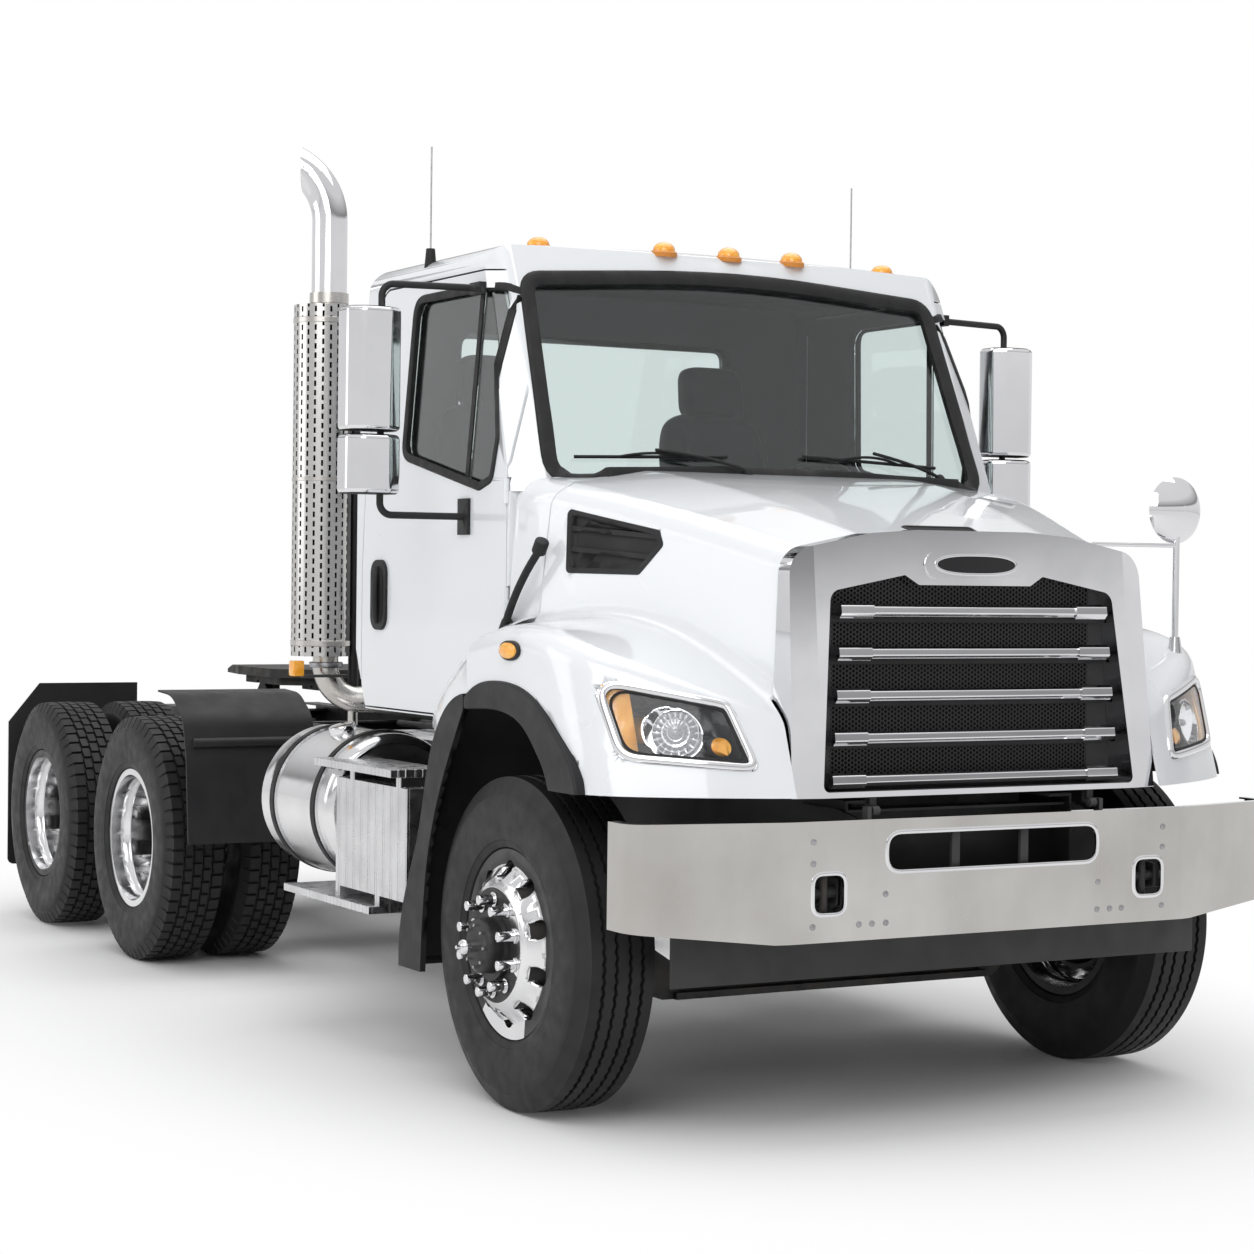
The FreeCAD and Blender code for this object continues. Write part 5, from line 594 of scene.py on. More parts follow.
def zones(piece, rules):
    """Gives faces other finishes. Each rule is a finish and a test on a face's centre and normal, with the centre
    measured from the ground under the front axle. The last rule that fits wins."""
    mesh = piece.data
    first = len(mesh.materials)
    for finish, _ in rules:
        mesh.materials.append(FINISH[finish].material)
    shift = Vector((FRONT_AXLE_X, 0, 0))
    for face in mesh.polygons:
        for i, (_, test) in enumerate(rules):
            if test(face.center - shift, face.normal):
                face.material_index = first + i


def weigh(piece):
    """Normals that follow the large flat faces, so that these shade flat beside small round ones."""
    modifier = piece.modifiers.new("flat", "WEIGHTED_NORMAL")
    modifier.keep_sharp = True
    modifier.weight = 60
    apply_modifiers(piece)


def dome(name, radius, height, at_point, normal, vertices=16):
    """A low round head, such as a bolt's, standing on a surface."""
    shares = ((-0.5, 0.0), (-0.5, 1.0), (0.45, 1.0), (0.85, 0.8), (1.0, 0.35), (1.02, 0.0))
    obj = lathe(name, [(height * up, radius * across) for up, across in shares], vertices)
    obj.data.transform(facing(at_point, normal))
    smooth(obj, 40.0)
    return obj


def tube(name, points, radius, bend=3, sides=12):
    """A bent bar along a smooth line led by the points."""
    curve = bpy.data.curves.new(name, "CURVE")
    curve.dimensions = "3D"
    curve.bevel_depth = radius
    curve.bevel_resolution = max(1, sides // 4)
    curve.use_fill_caps = True
    spline = curve.splines.new("NURBS")
    spline.points.add(len(points) - 1)
    for point, place_ in zip(spline.points, points):
        point.co = (*place_, 1.0)
    spline.use_endpoint_u = True
    spline.order_u = bend
    spline.resolution_u = 6
    only(linked(name, curve))
    bpy.ops.object.convert(target="MESH")
    obj = bpy.context.active_object
    tidy_mesh(obj)
    smooth(obj)
    return obj


# Tyres

GROOVE_FLOOR = 0.013
# Where the four rows of a lug stand round the tyre: two on its top, then two in the gap behind it.
LUG_SHARES = (0.0, 0.78, 0.84, 0.94)
SIDE_PROFILE = [(0.1056, 0.2866), (0.1056, 0.2985), (0.1225, 0.3035), (0.1285, 0.318), (0.1305, 0.324),
                (0.1335, 0.3265), (0.1362, 0.352), (0.1388, 0.385), (0.1390, 0.415), (0.1375, 0.446), (0.1345, 0.468),
                (0.1325, 0.4715), (0.1290, 0.4765), (0.1225, 0.494), (0.1140, 0.5095)]


def crown(a):
    """Radius of the tread surface at a distance from the middle of the tyre."""
    return TYRE_R - 0.0005 - 0.0026 * (abs(a) / 0.105) ** 2.5


def tyre_mesh(name, grooves, rows, tread_half, zigzag, lugs=0):
    """Tyre about the Y axis through the origin. grooves is a list of (middle, top width) across the tread. With lugs,
    cross grooves part the ribs into that many blocks round the tyre, each rib turned against its neighbour."""
    wall = [(a, r, "side", 0) for a, r in SIDE_PROFILE]
    columns = [(-a, *rest) for a, *rest in wall] + [(-tread_half, 0, "rib", 0)]
    for rib, (middle, width) in enumerate(grooves):
        columns += [(middle - width / 2, 0, "rib", rib), (middle - width * 0.28, 0, "floor", rib),
                    (middle + width * 0.28, 0, "floor", rib + 1), (middle + width / 2, 0, "rib", rib + 1)]
    columns += [(tread_half, 0, "rib", len(grooves))] + wall[::-1]
    count = len(columns)
    steps = lugs * 4 or rows
    vertices, faces = [], []
    for i in range(steps):
        block, part = divmod(i, 4)
        low = lugs and part > 1
        swing = zigzag if (part in (0, 3) if lugs else i % 2) else -zigzag
        for a, r, kind, group in columns:
            place_ = (block + LUG_SHARES[part] + 0.5 * (group % 2)) / lugs if lugs else i / rows
            turn = 2 * math.pi * place_
            across = a
            if kind == "side":
                radius = r
                if low and r > 0.492:
                    radius = r - 0.006
                    across = a * 0.965
                elif not lugs and part < 2 and r > 0.50:
                    across = a * 0.988
            else:
                radius = crown(a) - (GROOVE_FLOOR if kind == "floor" or low else 0.0)
                if lugs:
                    turn += 0.18 / lugs * a / tread_half
                if abs(a) < tread_half - 0.001:
                    across = a + swing
            vertices.append((radius * math.cos(turn), across, radius * math.sin(turn)))
        j = (i + 1) % steps
        for k in range(count):
            n = (k + 1) % count
            faces.append((i * count + k, j * count + k, j * count + n, i * count + n))
    obj = from_mesh(name, vertices, faces)
    tidy_mesh(obj)
    smooth(obj, 28.0)
    return obj


class TRACTOR_OT_tyres(bpy.types.Operator):
    """Build the ribbed steer tyres and the lugged drive tyres"""
    bl_idname = "tractor.tyres"
    bl_label = "Tyres"

    def execute(self, context):
        rib = tyre_mesh("rib_tyre", [(-0.066, 0.013), (-0.0235, 0.012), (0.0235, 0.012), (0.066, 0.013)],
                        184, 0.108, 0.0028)
        lug = tyre_mesh("lug_tyre", [(-0.062, 0.011), (-0.021, 0.010), (0.021, 0.010), (0.062, 0.011)],
                        0, 0.110, 0.0030, 58)
        for side, s in SIDES:
            piece = copy_of(rib, side + "_front_tyre_tread", Matrix.Translation((FRONT_AXLE_X, s * FRONT_Y, WHEEL_Z)))
            place(piece, "tread", side + "_front_wheel")
            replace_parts(piece, side + "_front_tyre")
            for axle, x in zip(("forward", "rearmost"), DRIVE_X):
                body = side + "_" + axle + "_drive_wheels"
                for y, tag in zip(DUAL_Y, ("outer", "inner")):
                    turn = Matrix.Translation((x, s * y, WHEEL_Z)) @ Matrix.Rotation(0.4 * y, 4, "Y")
                    piece = place(copy_of(lug, body + "_" + tag + "_tyre", turn), "tread", body)
                    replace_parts(piece, side + "_" + axle + "_drive_tyres")
        for model in (rib, lug):
            bpy.data.objects.remove(model)
        return {"FINISHED"}


# Wheels, hubs and nuts

DRUM_R = 0.2135
HUB_R = 0.1105
HUB_END_Y = 1.3125
NUT_CIRCLE_R = 0.1428
CAP_BOLT_CIRCLE_R = 0.0645
HUB_CAP = [(0.0005, 0.0), (0.070, 0.0), (0.072, 0.003), (0.070, 0.006), (0.056, 0.007), (0.0545, 0.009), (0.053, 0.020),
           (0.049, 0.0235), (0.041, 0.0245), (0.038, 0.020), (0.0005, 0.0195)]


def wheel_zones(piece, centre, side, hub_limit):
    """Gives hub and drum faces their own dark finish on a merged wheel."""
    piece.data.materials.append(FINISH["cast_black"].material)
    piece.data.materials.append(FINISH["frame_black"].material)
    for face in piece.data.polygons:
        offset = face.center - Vector(centre)
        radius = math.hypot(offset.x, offset.z)
        if radius < HUB_R:
            face.material_index = 2
        elif radius < DRUM_R and side * offset.y < hub_limit:
            face.material_index = 1


def ring_of(models, count, radius, centre, first=0.0):
    """Copies of models in a circle about a wheel's axis. Each model comes with its place along the axis."""
    parts = []
    for i in range(count):
        a = 2 * math.pi * (i + first) / count
        spot = Vector(centre) + Vector((radius * math.cos(a), 0, radius * math.sin(a)))
        for model, along in models:
            parts.append(copy_of(model, model.name + "_copy", Matrix.Translation(spot + Vector((0, along, 0)))))
    for model, _ in models:
        bpy.data.objects.remove(model)
    return parts


def nut_ring(name, centre, side, reach):
    """Ten tall covered nuts on washers round a hub."""
    nut = cylinder("nut", 0.0165, reach, (0, 0, 0), (0, 1, 0), 18, 0.004)
    washer = cylinder("washer", 0.024, 0.006, (0, 0, 0), (0, 1, 0), 24, 0.0015)
    return join(ring_of(((nut, side * reach / 2), (washer, side * 0.003)), 10, NUT_CIRCLE_R, centre, 0.5), name)


class TRACTOR_OT_wheels(bpy.types.Operator):
    """Finish the disc wheels and add hub caps and wheel nuts"""
    bl_idname = "tractor.wheels"
    bl_label = "Wheels"

    def execute(self, context):
        for side, s in SIDES:
            body = side + "_front_wheel"
            piece = dressed(body, "aluminium", body, 40.0, name=side + "_front_disc_wheel")
            wheel_zones(piece, (FRONT_AXLE_X, s * FRONT_Y, WHEEL_Z), s, 0.13)
            face = (FRONT_AXLE_X, s * (FRONT_Y + 0.1715), WHEEL_Z)
            place(nut_ring(side + "_front_nuts", face, s, 0.058), "chrome", body)
            outer = Vector((FRONT_AXLE_X, s * HUB_END_Y, WHEEL_Z))
            turned(side + "_front_hub_cap", HUB_CAP, 64, Matrix.Translation(outer) @ Matrix.Scale(s, 4, (0, 1, 0)),
                   "chrome", body)
            bolt = cylinder("bolt", 0.0055, 0.007, (0, 0, 0), (0, 1, 0), 6, 0.0008)
            bolts = ring_of(((bolt, s * 0.0085),), 8, CAP_BOLT_CIRCLE_R, outer)
            place(join(bolts, side + "_front_cap_bolts"), "satin", body)
            for axle, x in zip(("forward", "rearmost"), DRIVE_X):
                body = side + "_" + axle + "_drive_wheels"
                piece = dressed(body, "aluminium", body, 40.0, name=body + "_discs")
                wheel_zones(piece, (x, s * (DUAL_Y[0] + DUAL_Y[1]) / 2, WHEEL_Z), s, -0.02)
                place(nut_ring(body + "_nuts", (x, s * 0.9305, WHEEL_Z), s, 0.05), "frame_black", body)
        return {"FINISHED"}


# Chassis

BUMPER_X = 0.905
BUMPER_SPLIT_Y = 0.785
SLOT_CORNERS = [(-0.397, 0.812), (0.397, 0.812), (0.397, 0.927), (-0.397, 0.927)]
TOW_CORNERS = [(0.547, 0.695), (0.659, 0.695), (0.659, 0.813), (0.547, 0.813)]
BUMPER_BOLTS = [(0.66, 0.91), (0.66, 0.846), (0.66, 0.66), (0.402, 0.746), (0.40, 0.66), (0.45, 0.66), (0.497, 0.66)]
RIM = [(-0.004, -0.009), (-0.004, 0.001), (0.0, 0.003), (0.006, 0.0025), (0.010, -0.001)]
STACK_AT = (-2.2, -0.93)
TANK_HOOP = [(-0.019, 0.2805), (-0.017, 0.2835), (0.017, 0.2835), (0.019, 0.2805), (-0.019, 0.2805)]
AIR_TANK = [(-0.17, 0.0), (-0.165, 0.05), (-0.145, 0.088), (-0.12, 0.10), (0.12, 0.10), (0.145, 0.088), (0.165, 0.05),
            (0.17, 0.0)]
LAMP_Z = 0.86
ROLL_BAR = [(0.0, -0.52, 0.60), (0.40, -0.55, 0.57), (0.60, -0.50, 0.56), (0.615, 0.0, 0.55), (0.60, 0.50, 0.56),
            (0.40, 0.55, 0.57), (0.0, 0.52, 0.60)]
BLACK_NODES = {
    "frame_black": ("left_frame_rail", "right_frame_rail", "crossmembers", "front_springs", "rear_suspension",
                    "bumper_brackets", "driveshafts", "fifth_wheel_stands"),
    "cast_black": ("front_axle", "drive_axles", "engine_block", "radiator"),
    "plastic": ("quarter_fenders", "mud_flaps", "cab_flares")}


def dress_bumper():
    """One bright bumper from its three parts, with rimmed openings, bolts and struts behind the slot."""
    pieces = []
    for node in ("front_bumper", "bumper_ends"):
        piece = loose(node, node + "_part")
        edit(piece, select="DESELECT")
        for face in piece.data.polygons:
            face.select = abs(abs(face.center.y) - BUMPER_SPLIT_Y) < 0.0004 and abs(face.normal.y) > 0.99
        edit(piece, (bpy.ops.mesh.delete, {"type": "FACE"}), select=None)
        pieces.append(piece)
    bumper = join(pieces, "bumper_bright")
    tidy_mesh(bumper, 0.0006)
    flatten(bumper, 0.4)
    smooth(bumper, 30.0)
    weigh(bumper)
    place(bumper, "bumper")
    zones(bumper, [("chrome", lambda c, n: c.z > 0.952 or c.z < 0.622),
                   ("frame_black", lambda c, n: n.x < -0.5 and c.x < 0.9)])
    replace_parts(bumper, "front_bumper", "bumper_ends")
    outlines = [("slot", rounded(SLOT_CORNERS, [0.05] * 4))]
    for side, s in SIDES:
        outlines.append((side + "_tow", rounded([(s * y, z) for y, z in TOW_CORNERS], [0.034] * 4)))
    ahead = Vector((1, 0, 0))
    for name, path in outlines:
        points = [at(BUMPER_X, p.x, p.y) for p in path]
        place(band(name + "_rim", points, [ahead] * len(points), RIM, sum(points, Vector()) / len(points)), "chrome")
    bolts = [dome("bolt", 0.0095, 0.0035, at(BUMPER_X, s * y, z), ahead) for _, s in SIDES for y, z in BUMPER_BOLTS]
    place(join(bolts, "bumper_bolts"), "satin")
    struts = [block("strut", at(0.868, y - 0.015, 0.80), at(0.884, y + 0.015, 0.94), 0.003) for y in (-0.13, 0.13)]
    place(join(struts, "bumper_struts"), "frame_black")
    for side, s in SIDES:
        pin = cylinder(side + "_tow_pin", 0.0125, 0.12, at(0.872, s * 0.603, 0.754), (0, 0, 1), 24, 0.003)
        place(pin, "cast_black")


def dress_tanks():
    """Fuel tanks with straps on rubber pads and a cap on each."""
    tanks = dressed("fuel_tanks", "aluminium")
    zones(tanks, [("frame_black", lambda c, n: abs(c.y) < 0.70)])
    for side, s in SIDES:
        for tag, x in (("rear", -1.958), ("front", -1.562)):
            turned(f"{side}_tank_strap_pad_{tag}", TANK_HOOP, 96, Matrix.Translation(at(x, s * 0.94, 0.825)), "rubber",
                   axis="X")
        place(cylinder(side + "_tank_cap", 0.052, 0.045, at(-1.78, s * 1.01, 1.093), (0, s * 0.26, 1), 40, 0.006),
              "chrome")


def dress_stack():
    """Exhaust stack with its perforated shield, bands, marker lamp and elbow flange."""
    stack = dressed("exhaust_stack", "stainless")

    def off(c):
        return math.hypot(c.x - STACK_AT[0], c.y - STACK_AT[1])

    zones(stack, [
        ("chrome", lambda c, n: c.z > 2.775),
        ("holes", lambda c, n: 0.105 < off(c) < 0.116 and 1.36 < c.z < 2.72),
        ("frame_black", lambda c, n: c.y > -0.86 and 1.30 < c.z < 2.55),
        ("frame_black", lambda c, n: abs(c.y + 0.79) < 0.1 and c.z < 1.0)])
    for z, grip in ((1.41, 0.012), (2.045, 0.008), (2.66, 0.012)):
        hoop = [(-grip, 0.1135), (-grip * 0.8, 0.1165), (grip * 0.8, 0.1165), (grip, 0.1135), (-grip, 0.1135)]
        turned(f"shield_band_{round(z * 100)}", hoop, 72, Matrix.Translation(at(*STACK_AT, z)), "stainless", axis="Z")
    place(block("stack_marker_body", at(-2.13, -1.09, 1.285), at(-2.075, -1.045, 1.345), 0.006), "amber")
    place(block("stack_marker_bracket", at(-2.125, -1.045, 1.28), at(-2.08, -0.86, 1.29), 0.002), "frame_black")
    place(cylinder("elbow_flange", 0.066, 0.022, at(-2.2, -0.905, 1.325), (0, 0, 1), 40, 0.004), "satin")


def frame_detail():
    """Tail lamps, air tanks, hoses and plates along the frame."""
    for side, s in SIDES:
        rings = []
        for i, y in enumerate((0.22, 0.33)):
            rings.append(cylinder("lamp_ring", 0.058, 0.03, at(-5.507, s * y, LAMP_Z), (1, 0, 0), 36, 0.005))
            glow = dome(f"{side}_tail_lamp_{i}", 0.05, 0.012, at(-5.5175, s * y, LAMP_Z), Vector((-1, 0, 0)), 32)
            place(glow, "red")
        place(join(rings, side + "_tail_lamp_rings"), "rubber")
        for i, x in enumerate((-2.62, -3.0)):
            turned(f"{side}_air_tank_{i}", AIR_TANK, 40, Matrix.Translation(at(x, s * 0.17, 0.80)), "frame_black",
                   axis="X")
    for i, (y, sag) in enumerate(((-0.16, 0.0), (-0.05, 0.03), (0.06, 0.015))):
        line = [at(-1.74, y, 1.62), at(-1.95, y, 1.55 - sag), at(-2.15, y * 1.4, 1.25 - sag), at(-2.4, y * 1.2, 1.06),
                at(-2.75, y, 1.035), at(-3.15, y, 1.035)]
        place(tube(f"air_hose_{i}", line, 0.014, 4), "rubber")
    place(block("front_splash_panel", at(0.655, -1.0, 0.465), at(0.667, 1.0, 0.685), 0.004), "frame_black")
    place(tube("front_roll_bar", [at(*p) for p in ROLL_BAR], 0.022, 3, 16), "cast_black")
    place(block("deck_plate", at(-2.95, -0.42, 1.012), at(-2.05, 0.42, 1.018), 0.002), "plate")
    place(block("air_connection_box", at(-1.745, -0.2, 1.56), at(-1.712, 0.1, 1.70), 0.008), "cast_black")


class TRACTOR_OT_chassis(bpy.types.Operator):
    """Finish the frame, axles, suspension, bumper, tanks, steps and stack"""
    bl_idname = "tractor.chassis"
    bl_label = "Chassis"

    def execute(self, context):
        for finish, nodes in BLACK_NODES.items():
            for node in nodes:
                dressed(node, finish)
        dressed("fender_extensions", "paint")
        dressed("fifth_wheel_plate", "cast_black", "fifth_wheel", 35.0, 0.003)
        for side, _ in SIDES:
            dressed(side + "_knuckle", "cast_black", side + "_knuckle")
        steps = dressed("cab_steps", "satin", "chassis", 35.0, 0.002)
        zones(steps, [
            ("plate", lambda c, n: abs(c.y) > 0.99 and (c.z > 0.98 or c.z < 0.53)),
            ("plate", lambda c, n: abs(c.y) > 0.93 and 0.55 < c.z < 0.96),
            ("frame_black", lambda c, n: abs(c.y) < 0.93)])
        dress_tanks()
        dress_stack()
        dress_bumper()
        frame_detail()
        return {"FINISHED"}


# Hood

BACKWARD = (-1, 0, 0)
LAMP_CORNERS = [(0.832, 1.313), (1.177, 1.384), (1.140, 1.139), (0.776, 1.110)]
LAMP_RADII = [0.03, 0.05, 0.045, 0.022]
BOWL_AT = (0.9885, 1.2196)
BULB_AT = (0.868, 1.181)
BOWL_SINK = 0.012
LAMP_BANDS = (
    ("bezel", -0.010, [(-0.013, -0.006), (-0.012, 0.003), (-0.007, 0.007), (0.006, 0.0075), (0.012, 0.004),
                       (0.014, -0.006)], "chrome"),
    ("lamp_gasket", -0.0255, [(-0.004, -0.006), (-0.004, 0.0015), (0.004, 0.0025), (0.005, -0.006)], "rubber"))
BOWL = [(-0.046, 0.010), (-0.042, 0.026), (-0.034, 0.043), (-0.022, 0.058), (-0.008, 0.069), (-0.009, 0.071),
        (-0.025, 0.060), (-0.038, 0.044), (-0.047, 0.026), (-0.050, 0.010), (-0.046, 0.010)]
BULB = [(-0.046, 0.0), (-0.046, 0.012), (-0.016, 0.011), (-0.010, 0.008), (-0.008, 0.0)]
BADGE_Z = 1.7305
BADGE_STEPS = 48
BADGE_RIM = [(-0.005, -0.001), (-0.004, 0.003), (0.0, 0.0045), (0.004, 0.003), (0.005, -0.001)]
SCOOP_CORNERS = [(0.575, -0.13), (0.575, 0.13), (0.655, 0.115), (0.655, -0.115)]
SCOOP_LIP = [(-0.003, -0.002), (-0.002, 0.004), (0.004, 0.005), (0.010, -0.001)]
MARKER_PARTS = (
    ("base", [(-0.006, 0.0), (-0.006, 0.037), (0.006, 0.037), (0.009, 0.034), (0.009, 0.0)], "plastic"),
    ("lens", [(0.006, 0.0), (0.006, 0.030), (0.014, 0.029), (0.020, 0.022), (0.0225, 0.010), (0.023, 0.0)], "amber"))


def lamp_rules():
    """Zones of a headlamp: bright frame, reflector and amber lamps. The rest stays a dark well."""
    frame_edge = grow(LAMP_CORNERS, -0.0215)

    def near(c, spot, radius):
        return math.hypot(abs(c.y) - spot[0], c.z - spot[1]) < radius

    return [
        ("chrome", lambda c, n: not inside(frame_edge, (abs(c.y), c.z))),
        ("reflector", lambda c, n: near(c, BOWL_AT, 0.0795)),
        ("amber", lambda c, n: near(c, BULB_AT, 0.0265) and n.x > 0.2),
        ("amber", lambda c, n: abs(c.y) > 1.0805 and inside(frame_edge, (abs(c.y), c.z)))]


def dress_lamps():
    """Headlamps with a bezel, a gasket, a faceted bowl and a bulb."""
    zones(dressed("headlamps", "lamp_grey", "hood", flat=0.0), lamp_rules())
    dressed("headlamp_lenses", "lens", "hood", flat=0.0)
    skin = skin_of("headlamp_lenses")
    whole = skin_of("headlamps", "headlamp_lenses", "hood")
    for side, s in SIDES:
        for name, inset, profile, finish in LAMP_BANDS:
            path = rounded([(s * y, z) for y, z in grow(LAMP_CORNERS, inset)], LAMP_RADII, spacing=0.015)
            points, normals, _ = lay_all(whole, [at(2.0, p.x, p.y) for p in path], BACKWARD)
            normals = [Vector((n.x, n.y, 0.35 * n.z)).normalized() if abs(n.x) > 0.15 else Vector((0.75, s * 0.66, 0))
                       for n in normals]
            for _ in range(3):
                after = normals[1:] + normals[:1]
                normals = [(normals[i - 1] + normals[i] * 2 + after[i]).normalized() for i in range(len(path))]
                after = points[1:] + points[:1]
                points = [(points[i - 1] + points[i] * 2 + after[i]) / 4 for i in range(len(path))]
            place(band(f"{side}_{name}", points, normals, profile, sum(points, Vector()) / len(points)), finish, "hood")
        face, normal = lay(skin, at(2.0, s * BOWL_AT[0], BOWL_AT[1]), BACKWARD)
        normal = Vector((normal.x, normal.y, 0.0)).normalized()
        spot = facing(face - normal * BOWL_SINK, normal)
        dish = turned(side + "_reflector", BOWL, 18, spot, "reflector", "hood")
        only(dish)
        bpy.ops.object.shade_flat()
        turned(side + "_bulb", BULB, 24, spot, "satin", "hood")


def dress_grille():
    """Surround, bars and mesh of the grille, with slats behind and a bare badge plate above."""
    surround = dressed("grille_surround", "chrome", "hood", 30.0)
    zones(surround, [("frame_black", lambda c, n: abs(c.y) < 0.588 and c.z < 1.05),
                     ("frame_black", lambda c, n: n.x < -0.6)])
    dressed("grille_bars", "chrome", "hood", 30.0)
    dressed("grille_mesh", "mesh", "hood", 30.0)
    slats = []
    for i in range(5):
        z = 1.078 + i * 0.12725
        half = 0.575 - i * 0.009
        slats.append(block("slat", at(0.729, -half, z - 0.036), at(0.752, half, z - 0.012), 0.003))
    place(join(slats, "grille_slats"), "plastic", "hood")
    ring = []
    for i in range(BADGE_STEPS):
        a = 2 * math.pi * i / BADGE_STEPS
        ring.append(at(2.0, 0.152 * math.copysign(abs(math.cos(a)) ** 0.75, math.cos(a)),
                       BADGE_Z + 0.030 * math.copysign(abs(math.sin(a)) ** 0.85, math.sin(a))))
    skin = skin_of("grille_surround")
    points, normals, _ = lay_all(skin, ring, BACKWARD)
    middle, out = lay(skin, at(2.0, 0.0, BADGE_Z), BACKWARD)
    place(band("badge_rim", points, normals, BADGE_RIM, middle), "chrome", "hood")
    fan("badge_plate", middle + out * 0.0016, [p + n * 0.0016 for p, n in zip(points, normals)], "plastic",
        Vector((1, 0, 0)))


def dress_hood_detail():
    """Latch straps, side markers and the scoop on top of the hood, its mouth a plate of painted shade."""
    hood = skin_of("hood", "fender_lips")
    rise = Vector((0, 0, 1))
    corners = [at(x, y, 0) for x, y in SCOOP_CORNERS]
    path = rounded([(p.x, p.y) for p in corners], [0.012] * 4, spacing=0.02)
    points, normals, middle = lay_all(hood, [(p.x, p.y, 3.0) for p in path], -rise)
    place(band("scoop_lip", points, normals, SCOOP_LIP, middle), "plastic", "hood")
    # The scoop's mouth is a near-black plate: painted shade standing in for the opening.
    fan("scoop_mouth", middle + rise * 0.0012, [p + n * 0.0015 for p, n in zip(points, normals)], "dark", rise)
    for side, s in SIDES:
        parts = [tube(side + "_latch_strap", [at(-0.200, s * 1.004, 1.765), at(-0.236, s * 1.022, 1.715),
                                              at(-0.330, s * 1.03, 1.61), at(-0.42, s * 1.014, 1.525)], 0.013, 3, 16)]
        for point, size in ((at(-0.203, s, 1.775), 0.024), (at(-0.43, s, 1.51), 0.028)):
            parts.append(cylinder("grip", size, 0.05, point, (0.6, 0, 0.8), 24, 0.006))
        place(join(parts, side + "_latch"), "rubber")
        spot = stand(*lay(hood, at(0.06, s * 3.0, 1.448), (0, -s, 0)), 1.9, 0.85)
        for name, profile, finish in MARKER_PARTS:
            turned(f"{side}_marker_{name}", profile, 36, spot, finish, "hood")


class TRACTOR_OT_hood(bpy.types.Operator):
    """Finish the hood with its grille, headlamps and round mirror"""
    bl_idname = "tractor.hood"
    bl_label = "Hood"

    def execute(self, context):
        zones(dressed("hood", "paint", "hood", 40.0), [("trim", lambda c, n: n.z < -0.3 and c.z > 1.0)])
        dressed("hood_vents", "plastic", "hood")
        dressed("fender_lips", "plastic", "hood", 40.0)
        zones(dressed("fender_mirror", "chrome", "hood"), [("plastic", lambda c, n: c.z < 1.40)])
        dress_lamps()
        dress_grille()
        dress_hood_detail()
        return {"FINISHED"}


# Cab

WINDSHIELD = [(-0.8623, 2.0178), (0.0, 2.0551), (0.8623, 2.0178), (0.8217, 2.6879), (0.0, 2.742), (-0.8217, 2.6879)]
WINDSHIELD_R = [0.07, 8.0, 0.07, 0.07, 8.0, 0.07]
SIDE_WINDOW = [(-1.3054, 2.110), (-1.2753, 2.6577), (-0.6547, 2.6577), (-0.5617, 2.1402), (-0.5904, 2.0101),
               (-0.6806, 1.9853)]
SIDE_WINDOW_R = [0.06, 0.07, 0.05, 0.06, 0.04, 0.06]
REAR_WINDOW = [(-0.6197, 2.0599), (0.6197, 2.0599), (0.59, 2.5997), (-0.59, 2.5997)]
WIDE_SEAL = [(-0.030, -0.018), (-0.031, 0.002), (-0.022, 0.008), (0.010, 0.009), (0.020, 0.006), (0.024, -0.001)]
SLIM_SEAL = [(-0.016, -0.012), (-0.017, 0.001), (-0.012, 0.005), (0.008, 0.005), (0.013, -0.001)]
# Foot, elbow and tip of each wiper's arm and the two ends of its blade, as seen from the front.
WIPERS = (("right", (-0.14, 2.035), (-0.25, 2.075), (-0.47, 2.100), (-0.77, 2.075), (-0.19, 2.092)),
          ("left", (0.70, 2.035), (0.62, 2.07), (0.42, 2.118), (0.12, 2.105), (0.70, 2.082)))
BLADE_STEPS = 9
# Half size, corner radius, distance out from the skin, edge and finish of the plates behind a door's handle.
HANDLE_PLATES = (("handle_recess", (0.0665, 0.007, 0.128), 0.052, 0.004, 0.003, "plastic"),
                 # The pocket plate's near-black finish is painted shade in the recess behind the grip.
                 ("handle_pocket", (0.047, 0.004, 0.1), 0.04, 0.009, 0.0, "dark"))
HANDLE_GRIP = [(0.0, 0.012, 0.10), (0.012, 0.026, 0.06), (0.014, 0.027, -0.06), (0.0, 0.012, -0.10)]
SEAT_Y = 0.48
# Length, width and depth of each pad, its middle, its lean in degrees and its sewn channels.
SEAT_PADS = (("cushion", (0.52, 0.53, 0.15), (-1.31, 1.712), -4.0, 3),
             ("back", (0.68, 0.49, 0.135), (-1.565, 2.0), 80.0, 3),
             ("headrest", (0.21, 0.28, 0.115), (-1.622, 2.41), 85.0, 0))
BOLSTER = 0.56
ROOF_LAMPS = ((-0.705, 0.0), (-0.705, 0.266), (-0.705, -0.266), (-0.79, 0.72), (-0.79, -0.72))
ROOF_LAMP_PARTS = (
    ("lens", "amber", [(-0.004, 0.0), (-0.004, 0.038), (0.010, 0.0385), (0.020, 0.036), (0.029, 0.029), (0.036, 0.017),
                       (0.038, 0.006), (0.0384, 0.0)]),
    ("base", "lamp_base", [(-0.012, 0.0), (-0.012, 0.046), (0.003, 0.046), (0.007, 0.042), (0.007, 0.0)]))


def seal(name, skin, path, start, direction, profile, body="chassis"):
    """A rubber seal laid round an opening. start turns a 2-D point of the path into the start of a ray."""
    points, normals, middle = lay_all(skin, [start(p) for p in path], direction)
    place(band(name, points, normals, profile, middle), "rubber", body)


